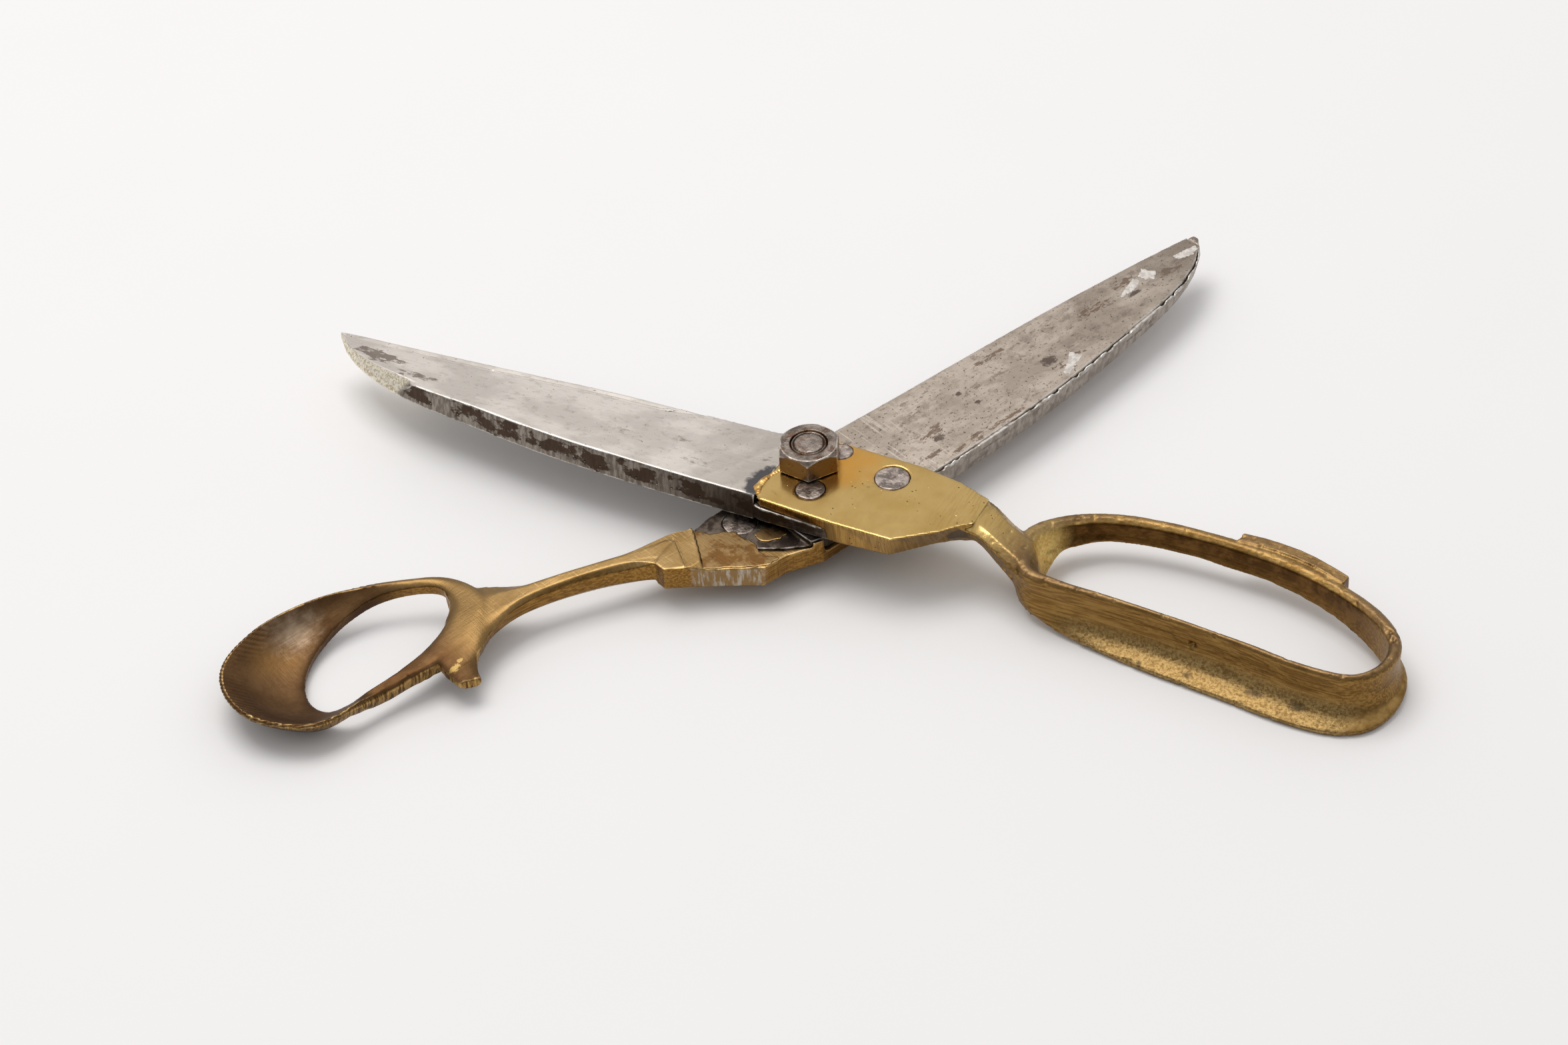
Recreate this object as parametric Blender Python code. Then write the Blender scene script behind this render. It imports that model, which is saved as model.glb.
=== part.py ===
"""Tailor's fabric shears: two forged blades, two cast brass handles and one pivot bolt.

The pivot axis is the Z axis and the shears stand open, with the bolt head and both bows
on z = 0.  The two halves are alike: each has a "half frame" (s, w, h), where s runs from
the pivot towards the blade's tip, w runs towards its cutting edge and h is the height
above its inner face.  All numbers are millimetres until they reach a mesh.
"""

import math

import bmesh
import bpy

MM = 0.001

# Driving dimensions
MATING_Z = 11.0            # height of the plane where the two halves slide on each other
FIT_GAP = 0.3              # gap left between neighbouring solids
HALF_THICKNESS = 6.2       # blade and handle plate at the pivot
UPPER_ANGLE = 149.8        # direction of the upper blade in plan, degrees
LOWER_ANGLE = 37.8         # direction of the lower blade in plan, degrees
PLATE_START = 6.0          # where the brass plate begins, along s
TONGUE_RISE = 0.045        # slope of the lap between tang and brass plate
TONGUE_PIVOT_H = 3.5       # height of that lap at the pivot
FACING_START = 13.0        # where the laid-on cutting steel begins, along s
FACING_SPINE = 2.1         # its thickness at the spine
FACING_EDGE = 0.75         # its thickness at the cutting edge
FACING_INSET = 0.9         # lip of the forged back beside it at the spine, with the gap
FACING_TIP = 3.0           # how far it stops short of the blade's tip
RELIEF = 1.1               # hollow of the lower half's inner face behind the pivot
BOLT_RADIUS = 3.9
BOLT_HOLE_RADIUS = 4.3
BOLT_HEAD_RADIUS = 8.5
NUT_ACROSS_FLATS = 13.0
NUT_HEIGHT = 5.4
NUT_TURN = 6.0             # turn of the nut's corner from the -Y direction, degrees
RIVET_CLEARANCE = 0.3

# Blade outlines in the half frame: (s, w)
UPPER_EDGE = [(4, 8.6), (16, 9.0), (28, 10.2), (52, 9.8), (78, 7.6), (104, 5.4), (119, 4.4), (128, 3.5)]
UPPER_SPINE = [(4, -16.2), (30, -16.6), (58, -16.0), (84, -13.6), (100, -11.6), (111, -8.6),
               (119, -4.8), (124, -0.9), (127, 2.4)]
LOWER_EDGE = [(4, 10.6), (28, 9.4), (52, 8.6), (78, 7.6), (100, 6.2), (118, 4.6), (126, 3.5)]
LOWER_SPINE = [(4, -16.6), (28, -17.2), (58, -16.0), (82, -13.2), (100, -10.6), (111, -8.0),
               (119, -4.4), (123.5, -0.6), (126, 2.4)]
BLADE_THICKNESS = [(4, 6.2), (40, 6.2), (80, 5.7), (105, 4.4), (118, 3.0), (128, 1.4)]
EDGE_HEIGHT = [(4, 4.9), (14, 3.4), (28, 1.4), (44, 0.6), (128, 0.45)]
SPINE_SLANT = 1.1          # how much narrower the blade's outer face is at the spine

# Handle plate and tang tongue outlines in the half frame: (s, w)
PLATE_BACK = [(6, 8.8), (-3, 8.8), (-24, 8.6), (-34, 7.2), (-42, 4.6)]
UPPER_OUTER_FRONT = [(-42, -4.2), (-39.5, -6.4), (-36.5, -9.6), (-27.8, -16.2), (-14, -16.4),
                     (6, -15.6)]
UPPER_INNER_FRONT = [(-42, -3.0), (-38, -4.6), (-34, -7.6), (-26.6, -14.8), (-14, -15.8),
                     (6, -15.6)]
LOWER_OUTER_FRONT = [(-42, 1.6), (-37, -2.4), (-25.6, -12.9), (-19, -13.4), (-11, -16.4),
                     (6, -16.2)]
LOWER_INNER_FRONT = [(-42, 1.4), (-36.4, -2.8), (-24.8, -13.0), (-19, -13.4), (-11, -16.2),
                     (6, -16.0)]
TONGUE_BACK = [(9, 8.9), (2, 8.8), (-5, 8.7), (-24, 8.5), (-29, 7.4)]
TONGUE_FRONT = [(-27.5, 1.0), (-23.5, -5.5), (-18, -11.0), (-13, -14.6), (-9, -15.6), (9, -15.6)]

# Rivets in the half frame: (name, s, w, radius)
RIVETS = [("front", -4.2, -8.2, 3.1), ("side", -4.8, 6.0, 2.4), ("rear", -19.3, 2.4, 3.7)]

# Finger bow, clockwise in plan from the neck along the far side:
# (x, y, top, bottom, wall, scoop, lip, foot, base)
# top and bottom are the wall's heights, scoop its flare into the hole, lip the flange
# outside it, foot the height of the flange's root and base that of its lowest edge.
FINGER_BOW = [
    (44.6, -30.6, 13.2, 3.4, 3.6, 2.8, 0.0, 8.0, 3.4),
    (47.0, -23.4, 12.6, 4.6, 3.6, 4.6, 0.0, 8.0, 4.6),
    (54.0, -19.2, 11.6, 5.0, 3.6, 2.4, 0.0, 8.0, 5.0),
    (64.0, -18.6, 11.0, 5.0, 3.2, 1.2, 0.0, 8.0, 5.0),
    (76.0, -22.2, 10.8, 4.8, 3.2, 0.9, 0.0, 8.0, 4.8),
    (90.0, -29.6, 10.8, 4.6, 3.2, 0.9, 0.0, 8.0, 4.6),
    (103.0, -38.6, 10.8, 4.2, 3.4, 0.8, 0.0, 7.5, 4.2),
    (112.0, -48.0, 11.0, 3.4, 3.4, 0.6, 0.0, 6.5, 3.4),
    (118.2, -58.2, 11.6, 2.2, 3.2, 0.4, 0.6, 5.0, 2.2),
    (119.8, -66.8, 12.0, 1.6, 2.8, 0.2, 1.6, 4.2, 1.0),
    (115.8, -73.6, 12.4, 1.6, 2.4, 0.0, 3.0, 3.8, 0.4),
    (108.6, -76.0, 12.6, 1.6, 2.2, 0.0, 4.8, 3.6, 0.0),
    (99.0, -71.6, 12.6, 1.6, 2.0, 0.0, 5.6, 3.6, 0.0),
    (86.0, -62.3, 12.6, 1.6, 1.8, 0.0, 5.8, 3.4, 0.0),
    (72.0, -52.9, 12.6, 1.6, 1.8, 0.0, 5.6, 3.4, 0.0),
    (60.0, -45.7, 12.8, 1.6, 2.0, 0.0, 4.0, 3.8, 0.2),
    (50.0, -40.2, 13.2, 2.0, 2.8, 0.6, 1.6, 5.6, 1.4),
    (44.8, -36.2, 13.4, 2.8, 3.2, 1.0, 0.4, 7.5, 2.6),
]
PAD_ENDS = [(92.2, -29.4), (112.6, -45.8)]     # thickened grip pad on the far wall
PAD_WIDTH = 4.6
PAD_BOTTOM = 6.0
PAD_TOP = 11.6

# Neck of the finger handle: front top, back top, back bottom and front bottom corners
FINGER_NECK = [
    [(30.0, -24.6, 17.35), (33.0, -12.0, 17.35), (33.0, -12.0, 11.2), (30.0, -23.6, 11.2)],
    [(34.6, -27.0, 16.6), (39.4, -15.8, 16.4), (38.8, -16.8, 11.2), (34.8, -24.8, 11.2)],
    [(39.4, -32.6, 14.8), (44.0, -20.8, 14.2), (43.0, -21.8, 7.2), (39.8, -29.6, 6.6)],
    [(43.4, -37.4, 13.2), (47.6, -24.4, 12.8), (47.0, -26.0, 4.8), (43.6, -34.6, 3.0)],
    [(47.4, -38.4, 11.0), (48.4, -28.6, 9.0), (48.0, -29.4, 5.2), (47.4, -37.0, 3.6)],
]

# Thumb bow, anticlockwise in plan from the web along the far side:
# (x, y) on the edge of the hole, width outwards, inner height, outer height,
# thickness, dish (hollow of the top face) and tuck (undercut below the rim)
THUMB_BOW = [
    (-81.4, -28.0, 8.0, 9.4, 9.8, 4.2, 0.0, 0.0),
    (-83.6, -22.8, 3.6, 9.4, 9.8, 3.6, 0.0, 0.0),
    (-90.0, -21.6, 2.7, 9.0, 9.6, 3.4, 0.0, 0.2),
    (-97.5, -22.4, 3.0, 8.0, 9.4, 3.6, 0.1, 0.4),
    (-104.0, -25.8, 5.6, 6.2, 9.2, 3.4, 0.5, 1.4),
    (-109.0, -30.6, 9.4, 4.2, 9.0, 3.0, 1.0, 3.0),
    (-112.4, -36.8, 14.2, 3.2, 8.8, 3.0, 1.4, 4.6),
    (-113.4, -43.4, 18.0, 2.8, 9.0, 2.8, 1.6, 5.4),
    (-112.0, -49.2, 16.2, 2.8, 8.8, 2.8, 1.6, 5.4),
    (-108.2, -53.2, 10.2, 3.8, 8.2, 2.8, 1.2, 3.6),
    (-103.4, -53.6, 3.8, 5.8, 7.4, 2.8, 0.4, 1.0),
    (-98.0, -50.4, 3.0, 7.2, 7.4, 3.6, 0.0, 0.4),
    (-92.4, -46.2, 3.8, 7.6, 7.8, 4.0, 0.0, 0.2),
    (-86.8, -41.2, 5.6, 8.4, 8.4, 4.6, 0.0, 0.0),
    (-82.6, -35.0, 8.0, 9.2, 9.2, 4.0, 0.0, 0.0),
]

# Shank of the thumb handle: front top, back top, back bottom and front bottom corners
THUMB_SHANK = [
    [(-82.6, -35.0, 8.6), (-82.6, -23.6, 8.8), (-82.6, -24.4, 5.8), (-82.6, -34.0, 5.8)],
    [(-76.2, -45.0, 8.4), (-75.6, -23.0, 9.6), (-75.6, -24.0, 5.4), (-76.2, -43.0, 4.8)],
    [(-72.4, -37.8, 8.8), (-71.0, -23.4, 9.8), (-71.0, -24.4, 5.2), (-72.4, -36.4, 4.8)],
    [(-66.4, -31.4, 9.8), (-65.0, -24.0, 10.2), (-65.0, -25.0, 5.2), (-66.4, -30.8, 4.8)],
    [(-58.8, -27.4, 10.2), (-57.2, -22.0, 10.6), (-57.2, -22.8, 5.2), (-58.8, -26.8, 4.8)],
    [(-49.0, -24.0, 10.6), (-47.2, -19.0, 10.8), (-47.2, -19.8, 5.0), (-49.0, -23.6, 4.7)],
    [(-40.0, -22.2, 10.7), (-38.0, -15.8, 10.8), (-38.0, -16.6, 4.8), (-40.0, -22.4, 4.65)],
    [(-33.6, -22.6, 10.7), (-31.6, -12.6, 10.8), (-31.6, -13.2, 4.7), (-33.6, -22.8, 4.65)],
    [(-28.6, -23.4, 10.4), (-27.2, -12.0, 10.4), (-27.2, -12.4, 4.8), (-28.6, -23.4, 4.8)],
]
SPUR = [
    [(-85.2, -43.2, 8.2), (-74.6, -39.0, 8.6), (-74.6, -39.6, 4.8), (-85.2, -43.2, 4.8)],
    [(-82.4, -47.6, 7.6), (-75.4, -44.4, 8.0), (-75.4, -44.8, 4.6), (-82.4, -47.6, 4.6)],
    [(-80.6, -49.6, 7.2), (-75.2, -47.4, 7.4), (-75.2, -47.4, 4.5), (-80.6, -49.6, 4.5)],
    [(-79.2, -50.8, 6.8), (-74.4, -49.4, 7.0), (-74.4, -49.4, 4.5), (-79.2, -50.8, 4.5)],
]

ROUND_SIDES = 40
HOLE_MARGIN = 1.0          # how far cutters run past a face


# Small geometry helpers ----------------------------------------------------------------

def upper_half(s, w, h):
    """World position of a half-frame point on the upper half."""
    angle = math.radians(UPPER_ANGLE)
    return (s * math.cos(angle) + w * math.sin(angle),
            s * math.sin(angle) - w * math.cos(angle),
            MATING_Z + FIT_GAP / 2 + h)


def lower_half(s, w, h):
    """World position of a half-frame point on the lower half."""
    angle = math.radians(LOWER_ANGLE)
    return (s * math.cos(angle) - w * math.sin(angle),
            s * math.sin(angle) + w * math.cos(angle),
            MATING_Z - FIT_GAP / 2 - h)


def catmull_rom(a, b, c, d, t):
    """One coordinate of a curve that passes through b and c."""
    return 0.5 * (2 * b + (c - a) * t + (2 * a - 5 * b + 4 * c - d) * t * t
                  + (3 * b - a - 3 * c + d) * t ** 3)


def smooth_path(points, steps, closed=False):
    """Smooth curve through tuples of numbers, with so many steps between neighbours."""
    count = len(points)
    spans = count if closed else count - 1
    path = []
    for span in range(spans):
        if closed:
            near = [points[(span + k) % count] for k in (-1, 0, 1, 2)]
        else:
            near = [points[min(max(span + k, 0), count - 1)] for k in (-1, 0, 1, 2)]
        for step in range(steps):
            t = step / steps
            path.append(tuple(catmull_rom(*four, t) for four in zip(*near)))
    if not closed:
        path.append(tuple(points[-1]))
    return path


def value_at(curve, s):
    """Height of a piecewise straight curve of (s, value) points at s."""
    for (s0, v0), (s1, v1) in zip(curve, curve[1:]):
        if s <= s1 or (s1, v1) == curve[-1]:
            return v0 + (v1 - v0) * (s - s0) / (s1 - s0)


def material(name, colour, roughness, metallic=1.0):
    """Principled material with one colour."""
    made = bpy.data.materials.get(name) or bpy.data.materials.new(name)
    made.use_nodes = True
    shader = made.node_tree.nodes["Principled BSDF"]
    shader.inputs["Base Color"].default_value = (*colour, 1.0)
    shader.inputs["Roughness"].default_value = roughness
    shader.inputs["Metallic"].default_value = metallic
    return made


def add_object(name, bm, finish, sharp_degrees=35.0):
    """Object from a bmesh whose points are in millimetres."""
    bmesh.ops.recalc_face_normals(bm, faces=bm.faces)
    bmesh.ops.scale(bm, vec=(MM, MM, MM), verts=bm.verts)
    mesh = bpy.data.meshes.new(name)
    bm.to_mesh(mesh)
    bm.free()
    mesh.shade_smooth()
    mesh.set_sharp_from_angle(angle=math.radians(sharp_degrees))
    made = bpy.data.objects.new(name, mesh)
    bpy.context.scene.collection.objects.link(made)
    if finish is not None:
        mesh.materials.append(finish)
    return made


def loft(rings, closed=False):
    """Skin of a row of equal rings of points, capped at both ends unless closed."""
    bm = bmesh.new()
    rows = [[bm.verts.new(point) for point in ring] for ring in rings]
    count = len(rows[0])
    pairs = list(zip(rows, rows[1:]))
    if closed:
        pairs.append((rows[-1], rows[0]))
    for one, two in pairs:
        for k in range(count):
            after = (k + 1) % count
            bm.faces.new((one[k], one[after], two[after], two[k]))
    if not closed:
        bm.faces.new(rows[0])
        bm.faces.new(rows[-1])
    return bm


def prism(outline, place, low, high, top_outline=None):
    """Solid over an outline of (s, w), between two heights that may depend on s and w."""
    bottom = [place(s, w, low(s, w)) for s, w in outline]
    top = [place(s, w, high(s, w)) for s, w in top_outline or outline]
    return loft([bottom, top])


def ring(x, y, z, radius, sides=ROUND_SIDES, turn=0.0):
    """Circle of points about a vertical axis."""
    angles = [turn + 2 * math.pi * k / sides for k in range(sides)]
    return [(x + radius * math.cos(a), y + radius * math.sin(a), z) for a in angles]


def turned(x, y, profile):
    """Solid turned about a vertical axis from (radius, z) points, bottom to top."""
    return loft([ring(x, y, z, radius) for radius, z in profile])


def hide_cutter(cutter):
    """A helper solid that is no part of the shears."""
    cutter.hide_render = True
    cutter.display_type = "WIRE"
    return cutter


def combine(target, helpers, operation):
    """Exact Boolean of an object with some helpers."""
    for helper in helpers:
        step = target.modifiers.new(operation.lower() + "_" + helper.name, "BOOLEAN")
        step.operation = operation
        step.object = hide_cutter(helper)
        step.solver = "EXACT"


def rounded_quad(corners, cut=0.22):
    """Eight points round a four-cornered section with its corners cut off."""
    points = []
    for k, corner in enumerate(corners):
        for other in (corners[k - 1], corners[(k + 1) % 4]):
            points.append(tuple(c + (o - c) * cut for c, o in zip(corner, other)))
    return points


def bar(stations, steps):
    """Smooth bar through four-cornered stations."""
    rows = smooth_path([sum(station, ()) for station in stations], steps)
    return loft([rounded_quad([row[0:3], row[3:6], row[6:9], row[9:12]]) for row in rows])


# Pieces ----------------------------------------------------------------------------------

def tongue_top(s, w, extra=0.0):
    """Height of the lap between the tang and the brass plate."""
    return TONGUE_PIVOT_H + TONGUE_RISE * s + extra


def tongue_outline(margin=0.0):
    """Outline of the tang, grown by a margin at its end and towards the front."""
    back = [(s, w) for s, w in TONGUE_BACK]
    front = [(s - margin, w - margin) for s, w in TONGUE_FRONT[:-2]]
    back[-1] = (back[-1][0] - margin, back[-1][1])
    if margin:
        back = [(s, w + HOLE_MARGIN) for s, w in back]
        front += [(s, w - HOLE_MARGIN) for s, w in TONGUE_FRONT[-2:]]
    else:
        front += TONGUE_FRONT[-2:]
    return back + front


def blade_section(edge, spine, thickness, edge_height):
    """Closed section of a whole blade: inner face, cutting edge, outer face and spine."""
    slant = SPINE_SLANT * thickness / HALF_THICKNESS
    middle = (edge + spine) / 2
    return [(edge, 0.0), (edge, edge_height),
            (middle, edge_height + (thickness - edge_height) * 0.54),
            (spine + slant + 0.3, thickness), (spine + slant, thickness - 0.25), (spine, 0.0)]


def facing_heights(thickness, edge_height):
    """Thickness of the cutting steel at the edge and at the spine."""
    return min(FACING_EDGE, edge_height * 0.7), min(FACING_SPINE, thickness * 0.4)


def facing_section(edge, spine, thickness, edge_height):
    """Section of the laid-on cutting steel."""
    at_edge, at_spine = facing_heights(thickness, edge_height)
    side = spine + FACING_INSET
    return [(edge, 0.0), (edge, at_edge), (side, at_spine), (side, 0.0)]


def facing_space(edge, spine, thickness, edge_height):
    """Section of the room that the cutting steel takes from the blade's back."""
    at_edge, at_spine = facing_heights(thickness, edge_height)
    side = spine + FACING_INSET - FIT_GAP
    return [(edge + HOLE_MARGIN, -HOLE_MARGIN), (edge + HOLE_MARGIN, at_edge + FIT_GAP),
            (side, at_spine + FIT_GAP), (side, -HOLE_MARGIN)]


def blade_rings(place, edge, spine, section, start, stop, count=24):
    """Rings of a blade part between two distances from the pivot."""
    edge_path = smooth_path(edge, 6)
    spine_path = smooth_path(spine, 6)
    rings = []
    for k in range(count + 1):
        s = start + (stop - start) * (k / count) ** 0.85
        shape = section(value_at(edge_path, s), value_at(spine_path, s),
                        value_at(BLADE_THICKNESS, s), value_at(EDGE_HEIGHT, s))
        rings.append([place(s, w, h) for w, h in shape])
    return rings


def make_blade(name, place, edge, spine, finish, relief):
    """Forged back of one blade, with its root and the tang that the handle is cast onto."""
    tip = min(edge[-1][0], spine[-1][0])
    blade = add_object(name, loft(blade_rings(
        place, edge, spine, blade_section, PLATE_START + FIT_GAP, tip - 0.4)), finish)
    tongue = add_object(name + "_tongue", prism(
        tongue_outline(), place, lambda s, w: 0.0, tongue_top), None)
    combine(blade, [tongue], "UNION")
    space = add_object(name + "_facing_space", loft(blade_rings(
        place, edge, spine, facing_space, FACING_START, tip - FACING_TIP + FIT_GAP)), None)
    hole = add_object(name + "_hole", turned(0, 0, [
        (BOLT_HOLE_RADIUS, -HOLE_MARGIN), (BOLT_HOLE_RADIUS, 2 * MATING_Z)]), None)
    cutters = [space, hole] + rivet_cutters(name, place)
    if relief:
        cutters.append(relief_cutter(name, place))
    combine(blade, cutters, "DIFFERENCE")
    return blade


def relief_cutter(name, place):
    """Hollow in the inner face between the pivot and the shank's step."""
    outline = [(-13, 14), (-13, -22), (-44, -22), (-40, -6), (-31, 14)]
    return add_object(name + "_relief", prism(
        outline, place, lambda s, w: -HOLE_MARGIN, lambda s, w: RELIEF), None)


def make_facing(name, place, edge, spine, finish):
    """Cutting steel laid on the blade's inner face."""
    tip = min(edge[-1][0], spine[-1][0])
    return add_object(name, loft(blade_rings(place, edge, spine, facing_section,
                                             FACING_START + FIT_GAP, tip - FACING_TIP)), finish)


def rivet_cutters(name, place):
    """Cutters for the rivet holes of one half."""
    cutters = []
    for label, s, w, radius in RIVETS:
        x, y, _ = place(s, w, 0)
        low = MATING_Z - HALF_THICKNESS - 2 * HOLE_MARGIN
        high = MATING_Z + HALF_THICKNESS + 2 * HOLE_MARGIN
        cutters.append(add_object(name + "_hole_" + label, turned(x, y, [
            (radius + RIVET_CLEARANCE, low), (radius + RIVET_CLEARANCE, high)]), None))
    return cutters


def make_rivets(prefix, place, inner, finish):
    """Flush rivets of one half, from just under its inner face to its outer face."""
    for label, s, w, radius in RIVETS:
        x, y, z_inner = place(s, w, inner)
        _, _, z_outer = place(s, w, HALF_THICKNESS)
        low = min(z_inner, z_outer)
        high = max(z_inner, z_outer)
        add_object(prefix + "_rivet_" + label, turned(x, y, [
            (radius - 0.15, low), (radius, low + 0.2),
            (radius, high - 0.2), (radius - 0.15, high)]), finish)


def make_plate(name, place, inner_front, outer_front, finish):
    """Brass plate of a handle, lapped over the tang."""
    plate = add_object(name, prism(
        PLATE_BACK + inner_front, place, lambda s, w: 0.0, lambda s, w: HALF_THICKNESS,
        PLATE_BACK + outer_front), finish)
    pocket = add_object(name + "_pocket", prism(
        tongue_outline(FIT_GAP), place, lambda s, w: -HOLE_MARGIN,
        lambda s, w: tongue_top(s, w, FIT_GAP)), None)
    return plate, pocket


def finger_bow_rings():
    """Rings of the finger bow: a wall whose near side carries a hollow flange."""
    rows = smooth_path(FINGER_BOW, 5, closed=True)
    rings = []
    for k, row in enumerate(rows):
        x, y, top, bottom, wall, scoop, lip, foot, base = row
        ahead = rows[(k + 1) % len(rows)]
        behind = rows[k - 1]
        along = math.hypot(ahead[0] - behind[0], ahead[1] - behind[1])
        out_x = -(ahead[1] - behind[1]) / along
        out_y = (ahead[0] - behind[0]) / along
        half = wall / 2
        lip = max(lip, 0.0)
        scoop = max(scoop, 0.0)
        section = [
            (-half - scoop, bottom + 0.5),
            (-half - scoop * 0.42, bottom + (top - bottom) * 0.38),
            (-half, top - 0.9), (-half * 0.3, top), (half * 0.5, top - 0.1),
            (half, top - 0.9), (half - 0.2, foot + (top - foot) * 0.25),
            (half + lip * 0.3, foot - (foot - base) * 0.32),
            (half + lip * 0.7, base + 1.9), (half + lip, base + 1.2),
            (half + lip - 0.3, base), (half * 0.5, bottom)]
        rings.append([(x + u * out_x, y + u * out_y, z) for u, z in section])
    return rings


def thumb_bow_rings():
    """Rings of the thumb bow: a band that opens into a dished rest at its far end."""
    rows = smooth_path(THUMB_BOW, 5, closed=True)
    rings = []
    for k, row in enumerate(rows):
        x, y, width, inner, outer, thick, dish, tuck = row
        ahead = rows[(k + 1) % len(rows)]
        behind = rows[k - 1]
        along = math.hypot(ahead[0] - behind[0], ahead[1] - behind[1])
        out_x = (ahead[1] - behind[1]) / along
        out_y = -(ahead[0] - behind[0]) / along
        climb = outer - inner
        tuck = max(tuck, 0.0)
        section = [
            (0.4, inner - thick + 0.3), (0.0, inner - 0.7), (0.6, inner),
            (width * 0.3, inner + climb * 0.22 - dish * 0.5),
            (width * 0.62, inner + climb * 0.55 - dish * 0.6),
            (width - 0.9, outer), (width, outer - 0.7),
            (width - 0.6 - tuck * 0.12, outer - thick * 0.85),
            (width * 0.62 - tuck * 0.1, inner + climb * 0.42 - dish * 0.5 - thick),
            (width * 0.24, inner - thick)]
        rings.append([(x + u * out_x, y + u * out_y, max(z, 0.0)) for u, z in section])
    return rings


def make_pad(name):
    """Thicker stretch on the outside of the finger bow's far wall."""
    (x0, y0), (x1, y1) = PAD_ENDS
    length = math.hypot(x1 - x0, y1 - y0)
    out_x = -(y1 - y0) / length * PAD_WIDTH / 2
    out_y = (x1 - x0) / length * PAD_WIDTH / 2
    bow = 1.6
    rings = []
    for k in range(7):
        t = k / 6
        x = x0 + (x1 - x0) * t + out_x * bow * math.sin(math.pi * t) * 0.5
        y = y0 + (y1 - y0) * t + out_y * bow * math.sin(math.pi * t) * 0.5
        rings.append(rounded_quad([
            (x - out_x * 0.4, y - out_y * 0.4, PAD_TOP), (x + out_x, y + out_y, PAD_TOP),
            (x + out_x, y + out_y, PAD_BOTTOM), (x - out_x * 0.4, y - out_y * 0.4, PAD_BOTTOM)]))
    return add_object(name, loft(rings), None)


def make_finger_handle(finish):
    """Upper handle: plate, neck and finger bow in one brass casting."""
    handle, pocket = make_plate("finger_handle", upper_half,
                                UPPER_INNER_FRONT, UPPER_OUTER_FRONT, finish)
    neck = add_object("finger_neck", bar(FINGER_NECK, 4), None)
    bow = add_object("finger_bow", loft(finger_bow_rings(), closed=True), None)
    combine(handle, [neck, bow, make_pad("finger_pad")], "UNION")
    hole = add_object("finger_bolt_hole", turned(0, 0, [
        (BOLT_HOLE_RADIUS, 0.0), (BOLT_HOLE_RADIUS, 3 * MATING_Z)]), None)
    combine(handle, [pocket, hole] + rivet_cutters("finger", upper_half), "DIFFERENCE")
    return handle


def make_thumb_handle(finish):
    """Lower handle: plate, shank, spur and thumb bow in one brass casting."""
    handle, pocket = make_plate("thumb_handle", lower_half,
                                LOWER_INNER_FRONT, LOWER_OUTER_FRONT, finish)
    shank = add_object("thumb_shank", bar(THUMB_SHANK, 4), None)
    bow = add_object("thumb_bow", loft(thumb_bow_rings(), closed=True), None)
    spur = add_object("thumb_spur", bar(SPUR, 3), None)
    combine(handle, [shank, bow, spur], "UNION")
    hole = add_object("thumb_bolt_hole", turned(0, 0, [
        (BOLT_HOLE_RADIUS, -HOLE_MARGIN), (BOLT_HOLE_RADIUS, 2 * MATING_Z)]), None)
    cutters = [pocket, hole] + rivet_cutters("thumb", lower_half)
    cutters.append(relief_cutter("thumb", lower_half))
    combine(handle, cutters, "DIFFERENCE")
    return handle


def make_bolt(finish):
    """Pivot bolt with a low round head, ending flush with the nut."""
    head_top = MATING_Z - FIT_GAP / 2 - HALF_THICKNESS - FIT_GAP
    nut_top = MATING_Z + FIT_GAP / 2 + HALF_THICKNESS + FIT_GAP + NUT_HEIGHT
    profile = [(BOLT_HEAD_RADIUS - 1.6, 0.0), (BOLT_HEAD_RADIUS, 1.2),
               (BOLT_HEAD_RADIUS, head_top), (BOLT_RADIUS, head_top),
               (BOLT_RADIUS, nut_top - 0.9), (BOLT_RADIUS - 0.6, nut_top - 0.1)]
    return add_object("pivot_bolt", turned(0, 0, profile), finish)


def make_nut(finish):
    """Hexagonal nut with a chamfered top."""
    bottom = MATING_Z + FIT_GAP / 2 + HALF_THICKNESS + FIT_GAP
    corner = NUT_ACROSS_FLATS / math.sqrt(3)
    turn = math.radians(-90 - NUT_TURN)
    nut = add_object("pivot_nut", loft([ring(0, 0, bottom, corner, 6, turn),
                                        ring(0, 0, bottom + NUT_HEIGHT, corner, 6, turn)]),
                     finish)
    chamfer = add_object("nut_chamfer", turned(0, 0, [
        (corner + 0.05, bottom - HOLE_MARGIN), (corner + 0.05, bottom + NUT_HEIGHT - 1.1),
        (NUT_ACROSS_FLATS / 2 - 0.1, bottom + NUT_HEIGHT + 0.02)]), None)
    combine(nut, [chamfer], "INTERSECT")
    bore = add_object("nut_bore", turned(0, 0, [
        (BOLT_HOLE_RADIUS, bottom - HOLE_MARGIN),
        (BOLT_HOLE_RADIUS, bottom + NUT_HEIGHT + HOLE_MARGIN)]), None)
    combine(nut, [bore], "DIFFERENCE")
    return nut


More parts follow.
